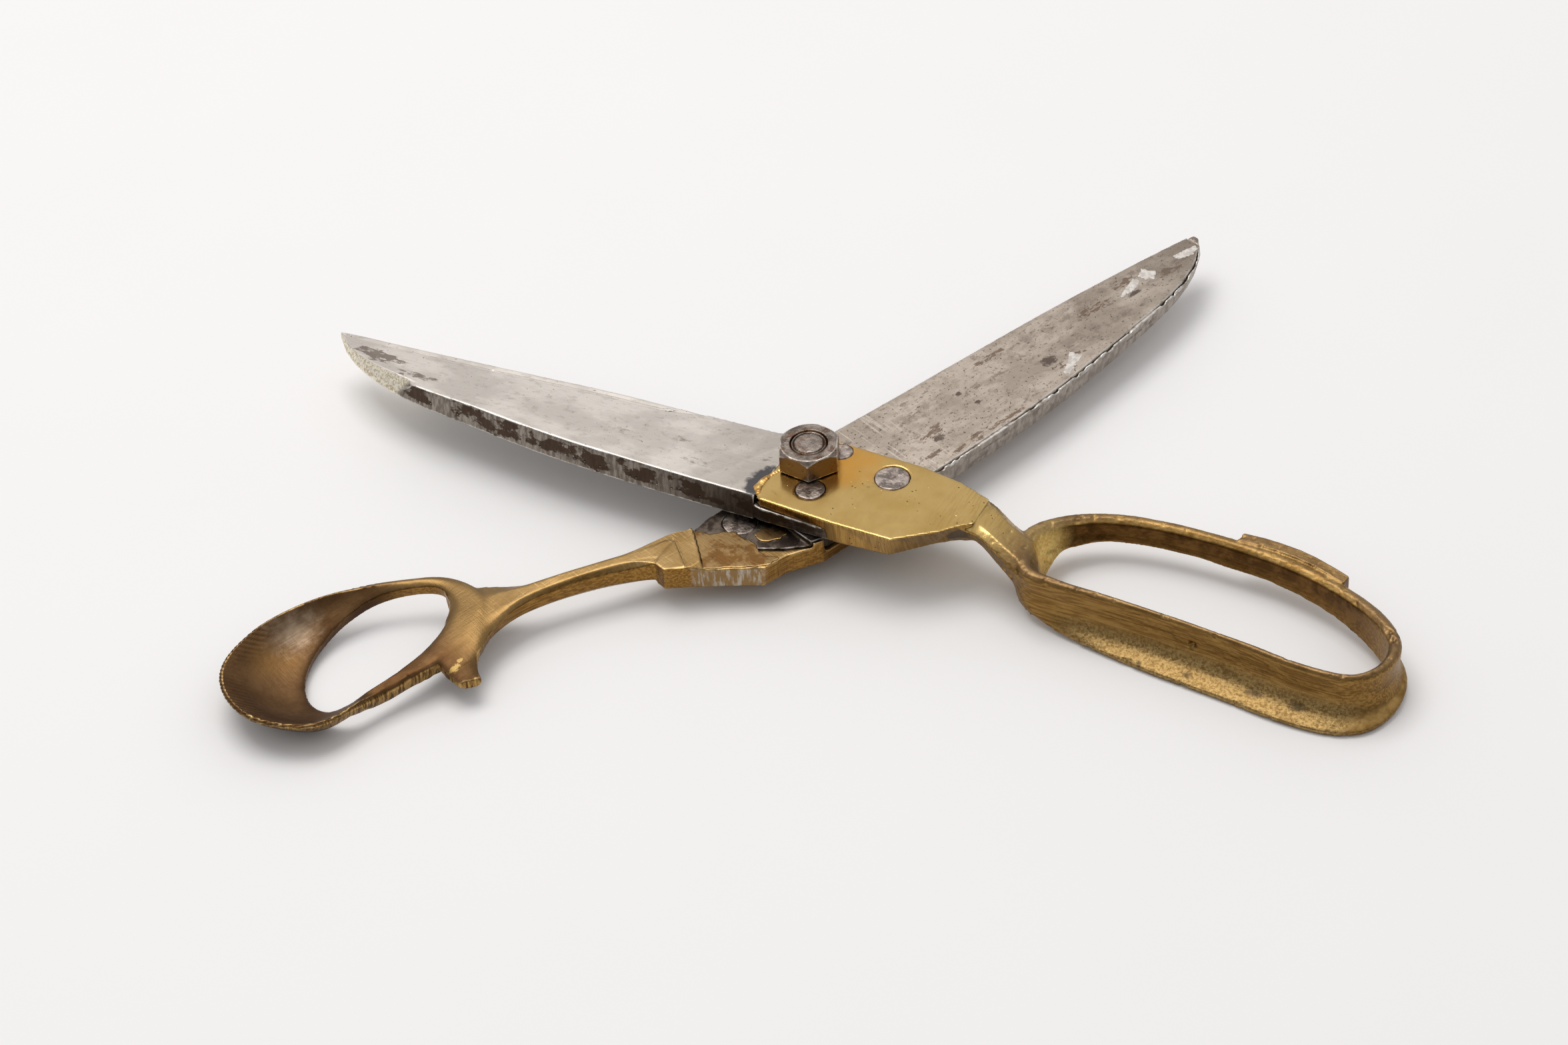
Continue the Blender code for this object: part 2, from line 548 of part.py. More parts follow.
def main():
    """Build every piece in place."""
    for old in list(bpy.data.objects):
        bpy.data.objects.remove(old, do_unlink=True)
    iron = material("forged_iron", (0.16, 0.15, 0.14), 0.45)
    steel = material("cutting_steel", (0.42, 0.41, 0.39), 0.35)
    finger_brass = material("finger_brass", (0.62, 0.42, 0.14), 0.3)
    thumb_brass = material("thumb_brass", (0.34, 0.22, 0.08), 0.35)
    rivet_iron = material("rivet_iron", (0.25, 0.24, 0.23), 0.4)
    bolt_steel = material("bolt_steel", (0.2, 0.18, 0.16), 0.35)

    make_blade("upper_blade", upper_half, UPPER_EDGE, UPPER_SPINE, iron, relief=False)
    make_blade("lower_blade", lower_half, LOWER_EDGE, LOWER_SPINE, iron, relief=True)
    make_facing("upper_facing", upper_half, UPPER_EDGE, UPPER_SPINE, steel)
    make_facing("lower_facing", lower_half, LOWER_EDGE, LOWER_SPINE, steel)
    make_finger_handle(finger_brass)
    make_thumb_handle(thumb_brass)
    make_rivets("upper", upper_half, 0.2, rivet_iron)
    make_rivets("lower", lower_half, RELIEF, rivet_iron)
    make_bolt(bolt_steel)
    make_nut(bolt_steel)


main()
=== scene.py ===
"""The looks of the fabric shears: worn blades, cast brass handles, rivets, nut and bolt."""

import math

import bmesh
import bpy
import numpy as np
from mathutils import Matrix, Vector, noise


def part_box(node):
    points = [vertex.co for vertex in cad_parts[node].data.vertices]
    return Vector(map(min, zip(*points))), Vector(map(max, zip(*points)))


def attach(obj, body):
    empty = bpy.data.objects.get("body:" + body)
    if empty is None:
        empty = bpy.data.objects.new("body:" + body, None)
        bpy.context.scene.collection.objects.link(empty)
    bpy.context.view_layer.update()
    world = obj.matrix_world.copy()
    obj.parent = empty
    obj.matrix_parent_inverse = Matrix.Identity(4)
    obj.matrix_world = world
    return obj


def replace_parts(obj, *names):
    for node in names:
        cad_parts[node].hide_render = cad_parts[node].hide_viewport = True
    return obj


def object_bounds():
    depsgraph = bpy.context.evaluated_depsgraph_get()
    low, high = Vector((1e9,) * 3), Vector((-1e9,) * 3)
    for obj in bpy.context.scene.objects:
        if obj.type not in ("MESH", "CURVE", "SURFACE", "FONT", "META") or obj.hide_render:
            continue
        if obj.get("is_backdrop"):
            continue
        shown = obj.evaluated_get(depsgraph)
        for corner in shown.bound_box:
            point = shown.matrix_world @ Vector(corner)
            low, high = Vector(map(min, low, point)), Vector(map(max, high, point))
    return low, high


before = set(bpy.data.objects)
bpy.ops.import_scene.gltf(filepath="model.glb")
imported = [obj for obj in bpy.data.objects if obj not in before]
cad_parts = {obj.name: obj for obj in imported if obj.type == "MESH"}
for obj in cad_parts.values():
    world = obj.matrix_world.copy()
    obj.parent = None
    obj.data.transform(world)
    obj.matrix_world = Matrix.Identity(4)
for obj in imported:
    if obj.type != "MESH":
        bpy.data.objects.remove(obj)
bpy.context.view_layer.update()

MM = 0.001
MATING_Z = 11.0            # height of the plane where the two halves slide on each other
TANG_TOP = 9.75            # height of the upper side of the lower blade's tang
ROOT = 7.0                 # s where the upper blade's back meets the brass plate
TOOTH = 1.3                # pitch of the small teeth cut into the thumb bow's rim
PAD_TOP = 11.0             # height of the flat top of the grip pad
STEP_TOP = 10.7            # height of the step at the shank's root, below the closing plate
STEP = ((-29.6, 8.8), (-0.872, 0.489))     # a place on that step's line, and the way across it
BOW_MIDDLE = (-97.0, 2.0)  # (s, w) of the middle of the finger bow
WEAR = "edge_wear"         # mesh attribute: 1 on sharp corners, -1 in sharp hollows

# Size of the faces of the fine meshes, in millimetres.
FINE = {"blade": 0.27, "facing": 0.25, "finger": 0.32, "thumb": 0.30, "nut": 0.18, "bolt": 0.16,
        "rivet": 0.15, "film": 0.15, "flake": 0.10, "bead": 0.12}

# Directions of the two blades in plan, and the side on which each cutting edge lies.
# Places on a half are (s, w, z) in millimetres, with s along its blade from the pivot,
# w towards its cutting edge and z upwards from the table. An area on it is such a place
# and its reach along the same three axes.
UPPER = {"turn": math.radians(149.8), "side": -1, "body": "upper_half"}
LOWER = {"turn": math.radians(37.8), "side": 1, "body": "lower_half"}

CAMERA_PLACE = (-0.006857, -0.625547, 0.559133)
CAMERA_TILT = 48.2
CAMERA_ROLL = -4.5
CAMERA_LENS = 85
LAMP_PLACE = (-0.25, 0.42, 1.35)
LAMP_SIZE = (1.0, 0.8)
LAMP_POWER = 9.3
ROOM_STRENGTH = (0.14, 0.78)
TABLE_REACH = 6.0


def colour(red, green, blue):
    """A colour given in display values from 0 to 255, as the linear values that shaders use."""
    linear = []
    for part in (red, green, blue):
        share = part / 255
        linear.append(share / 12.92 if share < 0.04045 else ((share + 0.055) / 1.055) ** 2.4)
    return (*linear, 1.0)


# Materials --------------------------------------------------------------------------------

class Paint:
    """A Principled material, with short calls for the nodes that drive it.

    s, w, z and place are the place on the half in millimetres, wear is the mesh attribute,
    and up is the surface's direction upwards. Masks are numbers from 0 to 1.
    """

    def __init__(self, name, half, **constants):
        self.material = bpy.data.materials.new(name)
        self.material.use_nodes = True
        self.nodes = self.material.node_tree.nodes
        self.links = self.material.node_tree.links
        self.shader = self.nodes["Principled BSDF"]
        for key, value in constants.items():
            self.shader.inputs[key.replace("_", " ")].default_value = value
        self.wear = self.node("Attribute", attribute_name=WEAR).outputs["Fac"]
        mapped = self.node("Mapping", {"Vector": self.node("TexCoord").outputs["Object"],
                                       "Rotation": (0, 0, -half["turn"])})
        size = (1 / MM, half["side"] / MM, 1 / MM)
        self.place = self.vector("MULTIPLY", mapped.outputs[0], size)
        self.s, self.w, self.z = self.node("SeparateXYZ", {0: self.place}).outputs
        facing = self.node("NewGeometry").outputs["Normal"]
        self.up = self.node("SeparateXYZ", {0: facing}).outputs[2]

    def node(self, kind, inputs=None, **settings):
        """A shader node of this kind, with its inputs joined or set."""
        made = self.nodes.new("ShaderNode" + kind)
        for key, value in settings.items():
            setattr(made, key, value)
        for key, value in (inputs or {}).items():
            self.join(value, made.inputs[key])
        return made

    def join(self, value, socket):
        """Joins another node's output to a socket, or sets it to a constant."""
        if isinstance(value, bpy.types.NodeSocket):
            self.links.new(value, socket)
        else:
            socket.default_value = value

    def vector(self, operation, first, second):
        return self.node("VectorMath", {0: first, 1: second}, operation=operation).outputs[0]

    def math(self, operation, *values):
        return self.node("Math", dict(enumerate(values)), operation=operation).outputs[0]

    def fade(self, value, low, high, start=0.0, end=1.0):
        """start below low, end above high, and a smooth change in between."""
        inputs = {"Value": value, "From Min": low, "From Max": high, "To Min": start, "To Max": end}
        return self.node("MapRange", inputs, interpolation_type="SMOOTHSTEP").outputs[0]

    def noise(self, scale, detail=3.0, rough=0.55, stretch=(1, 1, 1)):
        """Noise from 0 to 1, with so many waves per millimetre times stretch along each axis."""
        where = self.vector("MULTIPLY", self.place, tuple(scale * part for part in stretch))
        inputs = {"Vector": where, "Scale": 1.0, "Detail": detail, "Roughness": rough}
        return self.node("TexNoise", inputs).outputs["Fac"]

    def cells(self, scale):
        """Distance to the nearest of scattered points, in cell widths."""
        where = self.vector("MULTIPLY", self.place, (scale, scale, scale))
        return self.node("TexVoronoi", {"Vector": where, "Scale": 1.0}).outputs[0]

    def spots(self, scale, amount, soft=0.08, **options):
        """A mask of ragged spots, more of them the larger the amount."""
        level = 0.5 + 0.28 * (0.5 - amount)
        return self.fade(self.noise(scale, **options), level, level + soft)

    def blob(self, centre, radius, ragged=0.35, scale=0.5, soft=0.12):
        """A ragged mask around the place centre, with radii along the three axes."""
        away = self.vector("DIVIDE", self.vector("SUBTRACT", self.place, centre), radius)
        length = self.node("VectorMath", {0: away}, operation="LENGTH").outputs["Value"]
        rim = self.math("MULTIPLY_ADD", self.noise(scale, 4.0, 0.6), 2 * ragged, length)
        return self.fade(rim, 1.0 + ragged, 1.0 + ragged - soft)

    def blobs(self, areas, **options):
        """One mask of the blobs in all the areas."""
        return self.most(*[self.blob(centre, radius, **options) for centre, radius in areas])

    def most(self, *masks):
        """The largest of several masks."""
        result = masks[0]
        for mask in masks[1:]:
            result = self.math("MAXIMUM", result, mask)
        return result

    def times(self, *values):
        """The product of several values."""
        result = values[0]
        for value in values[1:]:
            result = self.math("MULTIPLY", result, value)
        return result

    def less(self, value):
        """A mask turned round."""
        return self.math("SUBTRACT", 1.0, value)

    def mix(self, mask, under, over):
        """A colour that is under where the mask is 0 and over where it is 1."""
        made = self.node("Mix", {0: mask}, data_type="RGBA")
        self.join(under, made.inputs[6])
        self.join(over, made.inputs[7])
        return made.outputs[2]

    def blend(self, mask, under, over):
        """A number that is under where the mask is 0 and over where it is 1."""
        return self.node("Mix", {0: mask, 2: under, 3: over}, data_type="FLOAT").outputs[0]

    def raised_edges(self, low=0.30, high=0.85):
        """A broken mask of raised edges."""
        return self.times(self.fade(self.wear, low, high), self.fade(self.noise(0.5, 4.0), 0.36, 0.56))

    def hollow(self):
        """A mask of sharp hollows."""
        return self.fade(self.wear, -0.25, -0.8)

    def finish(self, base, rough, bumps, metal=1.0):
        """Joins the results to the shader. bumps is a list of (height, reach in mm)."""
        self.join(base, self.shader.inputs["Base Color"])
        self.join(rough, self.shader.inputs["Roughness"])
        self.join(metal, self.shader.inputs["Metallic"])
        normal = None
        for height, reach in bumps:
            inputs = {"Height": height, "Distance": reach * MM}
            if normal is not None:
                inputs["Normal"] = normal
            normal = self.node("Bump", inputs).outputs[0]
        self.join(normal, self.shader.inputs["Normal"])
        return self.material


def steel_base(p, light, shade, specks, clouding=0.42):
    """Ground steel: clouded, faintly brushed along the blade and specked with pits."""
    cloud = p.noise(0.09, 6.0, 0.62, stretch=(0.7, 1.2, 1))
    brushed = p.noise(1.0, 3.0, stretch=(0.06, 2.6, 2.6))
    mottle = p.noise(0.45, 6.0, 0.70, stretch=(0.8, 1.2, 1))
    base = p.mix(p.fade(cloud, 0.40, 0.60), shade, light)
    base = p.mix(p.times(p.fade(brushed, 0.50, 0.75), 0.30), base, shade)
    base = p.mix(p.times(p.fade(mottle, 0.52, 0.66), clouding), base, colour(126, 112, 100))
    speck = p.spots(1.3, specks, soft=0.05)
    base = p.mix(p.times(speck, 0.7), base, colour(80, 66, 56))
    return base, brushed, mottle, speck


def rust_in(p, areas, amount, scale=0.55, soft=0.08):
    """A mask of irregular rust, scattered inside the given areas."""
    inside = p.blobs(areas, ragged=0.25, scale=0.3, soft=0.9)
    grain = p.noise(scale, 7.0, 0.68, stretch=(0.6, 1.3, 1))
    level = p.math("MULTIPLY_ADD", inside, -amount, 0.78)
    return p.fade(p.math("SUBTRACT", grain, level), 0.0, soft)


def upper_steel():
    """Outer face bright with rust near the tip, spine dark and mottled, tip facet bright."""
    p = Paint("upper_steel", UPPER)
    flat = p.fade(p.up, 0.70, 0.86)
    light, brushed, mottle, speck = steel_base(p, colour(240, 231, 221), colour(218, 209, 199),
                                              -0.12, clouding=0.22)
    root = p.fade(p.s, 34, 4)
    light = p.mix(p.times(root, 0.65), light, colour(170, 160, 150))
    rusty = [((112, -2.5, 14), (17, 6.0, 9)), ((100, -6.5, 15), (16, 4.0, 9))]
    stained = [((24.6, 6.0, 14), (6, 4.0, 6)), ((31, -2.0, 15), (12, 3.4, 6)),
               ((45, -6.0, 15), (12, 6.0, 6)), ((10, -2.0, 17), (5, 4.0, 6)),
               ((24, -9, 16), (12, 4.0, 6))]
    rust = rust_in(p, rusty, 0.36, scale=0.42)
    stains = rust_in(p, stained, 0.33, scale=0.6, soft=0.16)
    light = p.mix(p.times(rust, 0.82), light, colour(104, 88, 78))
    light = p.mix(p.times(stains, 0.70), light, colour(112, 97, 88))
    burnt = p.blob((6.6, -10.0, 17), (4.2, 7.6, 4), ragged=0.35, scale=0.6, soft=0.3)
    light = p.mix(p.times(burnt, 0.9), light, colour(58, 58, 64))
    band = p.times(p.fade(p.z, 12.0, 13.2), p.fade(p.z, 17.0, 15.8))
    blotch = p.noise(0.20, 6.0, 0.66, stretch=(0.8, 1, 1.1))
    patch = p.fade(p.math("MULTIPLY_ADD", band, 0.12, blotch), 0.56, 0.62)
    streak = p.noise(0.8, 4.0, 0.6, stretch=(1.6, 1.6, 0.25))
    side = p.mix(p.fade(streak, 0.35, 0.65), colour(116, 107, 97), colour(164, 155, 145))
    side = p.mix(p.times(patch, 0.92), side, colour(70, 53, 41))
    side = p.mix(p.fade(p.s, 40, 12, 0.0, 0.75), side, colour(68, 56, 46))
    facet = p.fade(p.math("MULTIPLY_ADD", p.z, 0.9, p.s), 112.5, 114.5)
    sandy = p.mix(p.fade(p.noise(1.6, 4.0, 0.7), 0.40, 0.58), colour(206, 190, 162),
                  colour(255, 247, 228))
    side = p.mix(facet, side, sandy)
    base = p.mix(flat, side, light)
    # Painted highlight: the raised edges, above all the top edge of the spine, are painted near-white.
    base = p.mix(p.times(p.raised_edges(), 0.85), base, colour(240, 236, 230))
    dull = p.times(p.most(rust, stains), flat)
    rough = p.blend(dull, p.blend(flat, 0.46, 0.34), 0.62)
    rough = p.math("MULTIPLY_ADD", brushed, 0.08, rough)
    return p.finish(base, rough, [(mottle, 0.05), (brushed, 0.02), (p.times(speck, -1.0), 0.04)],
                    metal=p.blend(p.most(dull, p.times(facet, p.less(flat))), 1.0, 0.7))


def lower_steel():
    """Inner face mottled grey with rust marks, rubbed arcs near the pivot, dull grey spine."""
    p = Paint("lower_steel", LOWER)
    flat = p.fade(p.math("ABSOLUTE", p.up), 0.70, 0.86)
    light, brushed, mottle, speck = steel_base(p, colour(186, 173, 160), colour(160, 147, 134), 0.06)
    rusty = [((101, 2.0, 11), (9, 4.0, 5)), ((112, -2.0, 11), (12, 3.4, 5)),
             ((36, -14.4, 11), (16, 3.0, 5)), ((26, -12.0, 11), (7, 4.0, 5)),
             ((32, -6.0, 11), (9, 5.0, 5)), ((58, 4.4, 11), (14, 2.4, 5)),
             ((72, -9.0, 11), (10, 4.0, 5)), ((48, -14.0, 11), (12, 2.0, 5)),
             ((88, 0.0, 11), (14, 4.0, 5))]
    browned = [((78, 3.0, 11), (40, 5.0, 6)), ((108, 0.0, 11), (22, 5.0, 6)),
               ((84, -6.0, 11), (22, 5.0, 6)), ((34, 2.0, 11), (14, 5.0, 6))]
    spotted = [((67.8, -6.2, 11), (2.6, 2.0, 4)), ((44.7, -0.2, 11), (1.0, 0.8, 4)),
               ((46, -5.4, 11), (1.0, 0.7, 4)), ((31, -8.6, 11), (2.0, 1.0, 4)),
               ((99.4, -2.4, 11), (2.6, 0.9, 4))]
    rust = rust_in(p, rusty, 0.34)
    bloom = p.blobs(browned, ragged=0.25, scale=0.2, soft=0.9)
    veil = p.fade(p.noise(0.28, 7.0, 0.70, stretch=(0.8, 1.2, 1)), 0.42, 0.60)
    light = p.mix(p.times(bloom, veil, 0.55), light, colour(112, 97, 85))
    spot = p.blobs(spotted, ragged=0.8, scale=1.1, soft=0.5)
    scatter = p.spots(0.30, 0.26, detail=7.0, rough=0.68, stretch=(0.8, 1.4, 1))
    light = p.mix(p.times(rust, 0.80), light, colour(110, 90, 74))
    light = p.mix(p.times(spot, 0.85), light, colour(82, 68, 60))
    light = p.mix(p.times(scatter, 0.6), light, colour(118, 103, 91))
    tip = p.fade(p.s, 96, 122)
    light = p.mix(p.times(tip, 0.45), light, colour(120, 106, 94))
    scuffs = p.noise(1.0, 2.0, 0.5, stretch=(1.4, 0.07, 1.0))
    near = p.fade(p.s, 40, 18)
    light = p.mix(p.times(near, p.fade(scuffs, 0.56, 0.66), 0.45), light, colour(216, 206, 194))
    tang = p.fade(p.s, 8, 4)
    heat = p.mix(p.fade(p.noise(0.35, 4.0), 0.42, 0.60), colour(66, 56, 50), colour(112, 100, 90))
    light = p.mix(tang, light, heat)
    streak = p.noise(0.7, 4.0, 0.6, stretch=(1.2, 1.2, 0.5))
    side = p.mix(p.fade(streak, 0.36, 0.64), colour(150, 141, 132), colour(184, 175, 165))
    side = p.mix(p.times(p.spots(0.25, 0.25, detail=5.0), 0.5), side, colour(112, 100, 88))
    side = p.mix(tang, side, colour(74, 62, 52))
    base = p.mix(flat, side, light)
    # Painted highlight: the raised edges are painted pale steel.
    base = p.mix(p.times(p.raised_edges(), 0.7), base, colour(228, 224, 218))
    dull = p.times(p.most(rust, spot, scatter), flat)
    rough = p.blend(dull, p.blend(flat, 0.46, 0.38), 0.62)
    rough = p.math("MULTIPLY_ADD", brushed, 0.08, rough)
    return p.finish(base, rough, [(mottle, 0.05), (brushed, 0.02), (p.times(speck, -1.0), 0.04)],
                    metal=p.blend(dull, 1.0, 0.7))


def plate_brass(p, steep, files):
    """Colour of the polished plate and the filed neck; the nut's reflection and the sides' shade are
    painted.
    """
    cloud = p.noise(0.09, 4.0)
    plate = p.mix(p.fade(cloud, 0.36, 0.64), colour(202, 170, 108), colour(190, 156, 92))
    # Painted reflection: an orange tint on the polished plate around the nut, where the nut's side is
    # mirrored.
    painted_nut_reflection = p.blob((-4, 3, 17), (17, 13, 9), ragged=0.5, scale=0.12, soft=0.9)
    plate = p.mix(p.times(painted_nut_reflection, 0.75), plate, colour(214, 150, 58))
    neck = p.times(p.fade(p.s, -29, -37), p.fade(files, 0.46, 0.60))
    plate = p.mix(p.times(neck, 0.4), plate, colour(168, 134, 78))
    # Painted shade: the steep sides are a darker copy of the brass. The file marks on them are real.
    shaded_sides = p.mix(p.fade(files, 0.40, 0.62), colour(138, 100, 48), colour(172, 134, 72))
    return p.mix(p.times(steep, 0.85), plate, shaded_sides)


def bow_brass(p, steep, brushed, grain, scoop, cove):
    """Colour of the cast finger bow: walls painted darker as shade, the far wall also darkened by patina,
    golden scoop and cove, dull top.
    """
    fine = p.noise(0.30, 5.0, 0.62)
    cast = p.mix(p.fade(fine, 0.36, 0.62), colour(134, 102, 54), colour(170, 136, 82))
    # Painted shade: the steep walls are a darker, brushed copy of the cast brass.
    shaded_wall = p.mix(p.fade(brushed, 0.38, 0.62), colour(116, 84, 42), colour(154, 120, 66))
    cast = p.mix(p.times(steep, 0.9), cast, shaded_wall)
    # The far inner wall, darker towards its top: partly brown patina, partly painted shade.
    far = p.times(p.fade(p.w, 5, 11), steep)
    dark = p.mix(p.fade(fine, 0.38, 0.62), colour(78, 52, 24), colour(110, 78, 40))
    cast = p.mix(p.times(far, p.fade(p.z, 4.5, 8.5, 0.55, 0.95)), cast, dark)
    sand = p.mix(p.fade(grain, 0.36, 0.60), colour(236, 184, 96), colour(255, 224, 138))
    cast = p.mix(scoop, cast, sand)
    sparkle = p.mix(p.fade(grain, 0.36, 0.62), colour(126, 98, 56), colour(180, 150, 98))
    cast = p.mix(cove, cast, sparkle)
    ridge = p.times(p.fade(p.z, 10.4, 11.2), p.less(steep))
    cast = p.mix(p.times(ridge, 0.65), cast, colour(118, 94, 70))
    spots = p.spots(0.35, 0.22, soft=0.10, detail=6.0)
    cast = p.mix(p.times(spots, 0.45), cast, colour(112, 84, 48))
    return p.mix(p.times(p.hollow(), 0.3), cast, colour(84, 58, 30))


def finger_brass():
    """Polished plate, filed neck and a cast bow, with pits, dirt and worn edges."""
    p = Paint("finger_brass", UPPER)
    bow = p.fade(p.s, -44, -56)
    steep = p.fade(p.math("ABSOLUTE", p.up), 0.85, 0.40)
    grain = p.noise(1.5, 5.0, 0.7)
    brushed = p.noise(1.0, 3.0, stretch=(0.10, 2.2, 2.2))
    files = p.noise(1.0, 3.0, stretch=(2.4, 0.22, 0.22))
    scoop = p.blob((-55, 3.5, 9), (7, 11, 8), ragged=0.2, scale=0.3, soft=0.9)
    cove = p.times(p.fade(p.z, 7.0, 3.4), p.fade(p.w, -9, -12), p.fade(p.s, -62, -74))
    cove = p.times(cove, p.fade(p.s, -137, -131))
    base = p.mix(bow, plate_brass(p, steep, files), bow_brass(p, steep, brushed, grain, scoop, cove))
    lead = p.blob((-39.5, -6.2, 13.5), (3.2, 2.2, 2.8), ragged=0.5, scale=0.6, soft=0.3)
    base = p.mix(p.times(lead, steep, 0.85), base, colour(96, 88, 78))
    edges = p.times(p.raised_edges(0.45, 0.95), p.blend(bow, 0.85, 0.3))
    base = p.mix(edges, base, colour(220, 186, 122))
    pits = p.times(p.fade(p.cells(0.62), 0.13, 0.06), p.fade(p.noise(0.13), 0.50, 0.58))
    pits = p.times(pits, p.blend(bow, 0.8, 0.0))
    dirty = [((-15, -1.5, 17), (6, 4, 5)), ((3, -12, 17), (5, 4, 5)), ((-5, 7, 17), (6, 5, 5))]
    stained = [((-97, -14.5, 2), (1.4, 1.2, 3)), ((-96.5, -11.5, 7.2), (1.0, 2.0, 1.5)),
               ((-112, -14.5, 2.5), (3.0, 1.4, 3)), ((-86, -15, 2), (1.0, 1.0, 3)),
               ((-122, -15.0, 3), (3.0, 1.4, 3))]
    dirt = p.times(rust_in(p, dirty, 0.28, scale=1.1, soft=0.22), p.less(bow), 0.6)
    stain = p.times(p.blobs(stained, ragged=0.7, scale=0.9, soft=0.8), 0.75)
    base = p.mix(p.most(pits, dirt, stain), base, colour(72, 60, 46))
    rough = p.blend(bow, p.math("MULTIPLY_ADD", files, 0.10, 0.15),
                    p.math("MULTIPLY_ADD", grain, 0.22, 0.27))
    coarse = p.times(grain, p.blend(p.most(scoop, cove), p.blend(bow, 0.04, 0.35), 0.55))
    strokes = p.times(files, p.blend(bow, 1.0, 0.0))
    return p.finish(base, rough, [(coarse, 0.20), (p.times(brushed, bow), 0.05), (strokes, 0.012),
                                  (p.less(pits), 0.20)], metal=p.blend(scoop, 1.0, 0.6))


def thumb_brass():
    """Satin shank with a painted sheen on top and painted shade on its sides, brown patina in the thumb
    rest and bow, painted shade on the bow's far wall, pale worn rims.
    """
    p = Paint("thumb_brass", LOWER)
    steep = p.fade(p.math("ABSOLUTE", p.up), 0.75, 0.45)
    bow = p.fade(p.s, -82, -93)
    cloud = p.noise(0.09, 5.0, 0.6)
    grain = p.noise(1.1, 4.0, 0.65)
    brushed = p.noise(1.0, 3.0, stretch=(0.10, 2.2, 2.2))
    cuts = p.noise(1.0, 4.0, 0.6, stretch=(1.5, 0.5, 0.16))
    scratches_and_sheen = p.noise(1.0, 3.0, 0.6, stretch=(3.0, 0.18, 0.4))
    # Painted sheen: the shank's top is painted lighter, with bright streaks over real scratches. Its sides
    # are painted darker as shade.
    top = p.mix(p.fade(cloud, 0.36, 0.64), colour(142, 112, 68), colour(164, 134, 88))
    top = p.mix(p.times(p.fade(scratches_and_sheen, 0.58, 0.70), 0.5), top, colour(206, 176, 122))
    side = p.mix(p.fade(brushed, 0.40, 0.62), colour(118, 82, 34), colour(158, 118, 58))
    shank = p.mix(p.times(steep, 0.9), top, side)
    web = p.fade(p.s, -62, -80)
    shank = p.mix(p.times(web, p.less(steep), 0.8), shank, colour(128, 100, 62))
    brown = p.mix(p.fade(cloud, 0.38, 0.62), colour(88, 62, 38), colour(108, 80, 52))
    gold = p.blob((-118, 44, 5), (9, 7, 9), ragged=0.7, scale=0.16, soft=1.0)
    brown = p.mix(p.times(gold, 0.4), brown, colour(132, 98, 54))
    sheen = p.blob((-110, 47.5, 5.5), (9, 6, 9), ragged=0.6, scale=0.4, soft=1.0)
    brown = p.mix(p.times(sheen, 0.75), brown, colour(166, 144, 120))
    # Painted shade: the bow's far inner wall faces away from the lamp and is painted dark brown.
    far = p.times(p.fade(p.w, 33, 40), p.fade(p.s, -104, -94), steep)
    brown = p.mix(p.times(far, 0.85), brown, colour(66, 44, 24))
    near = p.times(p.fade(p.w, 26, 21), steep)
    ribs = p.mix(p.fade(cuts, 0.42, 0.58), colour(98, 70, 34), colour(178, 142, 84))
    base = p.mix(bow, shank, brown)
    base = p.mix(p.times(near, p.fade(p.s, -80, -88)), base, ribs)
    chipped = [((-92.3, 11.8, 7.6), (1.7, 0.9, 3)), ((-90.2, 12.6, 7.9), (0.9, 0.6, 3))]
    fresh = p.blobs(chipped, ragged=0.9, scale=1.3, soft=0.4)
    base = p.mix(p.times(fresh, 0.4), base, colour(206, 176, 108))
    runs = p.noise(0.7, 6.0, 0.6, stretch=(1.6, 1.6, 0.4))
    chalk = p.mix(p.fade(runs, 0.44, 0.64), colour(140, 112, 74), colour(176, 166, 152))
    root = p.times(p.fade(p.s, -38, -36), p.fade(p.s, -24, -27), p.fade(p.w, -1, -3), steep)
    base = p.mix(root, base, chalk)
    base = p.mix(p.times(p.hollow(), 0.6), base, colour(80, 54, 26))
    base = p.mix(p.times(p.raised_edges(), 0.8), base, colour(214, 180, 122))
    rough = p.math("MULTIPLY_ADD", grain, 0.14, p.blend(bow, 0.28, 0.36))
    ridges = p.times(cuts, near)
    return p.finish(base, rough, [(grain, 0.03), (scratches_and_sheen, 0.03), (brushed, 0.03), (ridges, 0.20)])


def bolt_steel():
    """Grey brown nut and bolt, rust spotted, with bright rubbed corners."""
    p = Paint("bolt_steel", LOWER)
    cloud = p.noise(0.30, 4.0)
    steep = p.fade(p.math("ABSOLUTE", p.up), 0.75, 0.45)
    base = p.mix(p.fade(cloud, 0.38, 0.62), colour(98, 88, 80), colour(142, 130, 121))
    base = p.mix(steep, base, colour(158, 132, 102))
    brown = p.spots(0.5, 0.32, soft=0.10, detail=5.0)
    base = p.mix(p.times(brown, 0.75), base, colour(98, 68, 48))
    centre = p.blob((0, 0, 23), (3.3, 3.3, 2), ragged=0.1)
    base = p.mix(p.times(centre, 0.3), base, colour(160, 147, 137))
    base = p.mix(p.times(p.raised_edges(0.15, 0.5), 0.9), base, colour(226, 218, 208))
    base = p.mix(p.hollow(), base, colour(46, 38, 32))
    rough = p.math("MULTIPLY_ADD", cloud, 0.25, 0.16)
    return p.finish(base, rough, [(p.noise(1.0, 4.0), 0.10), (p.noise(4.0, 2.0), 0.03)])


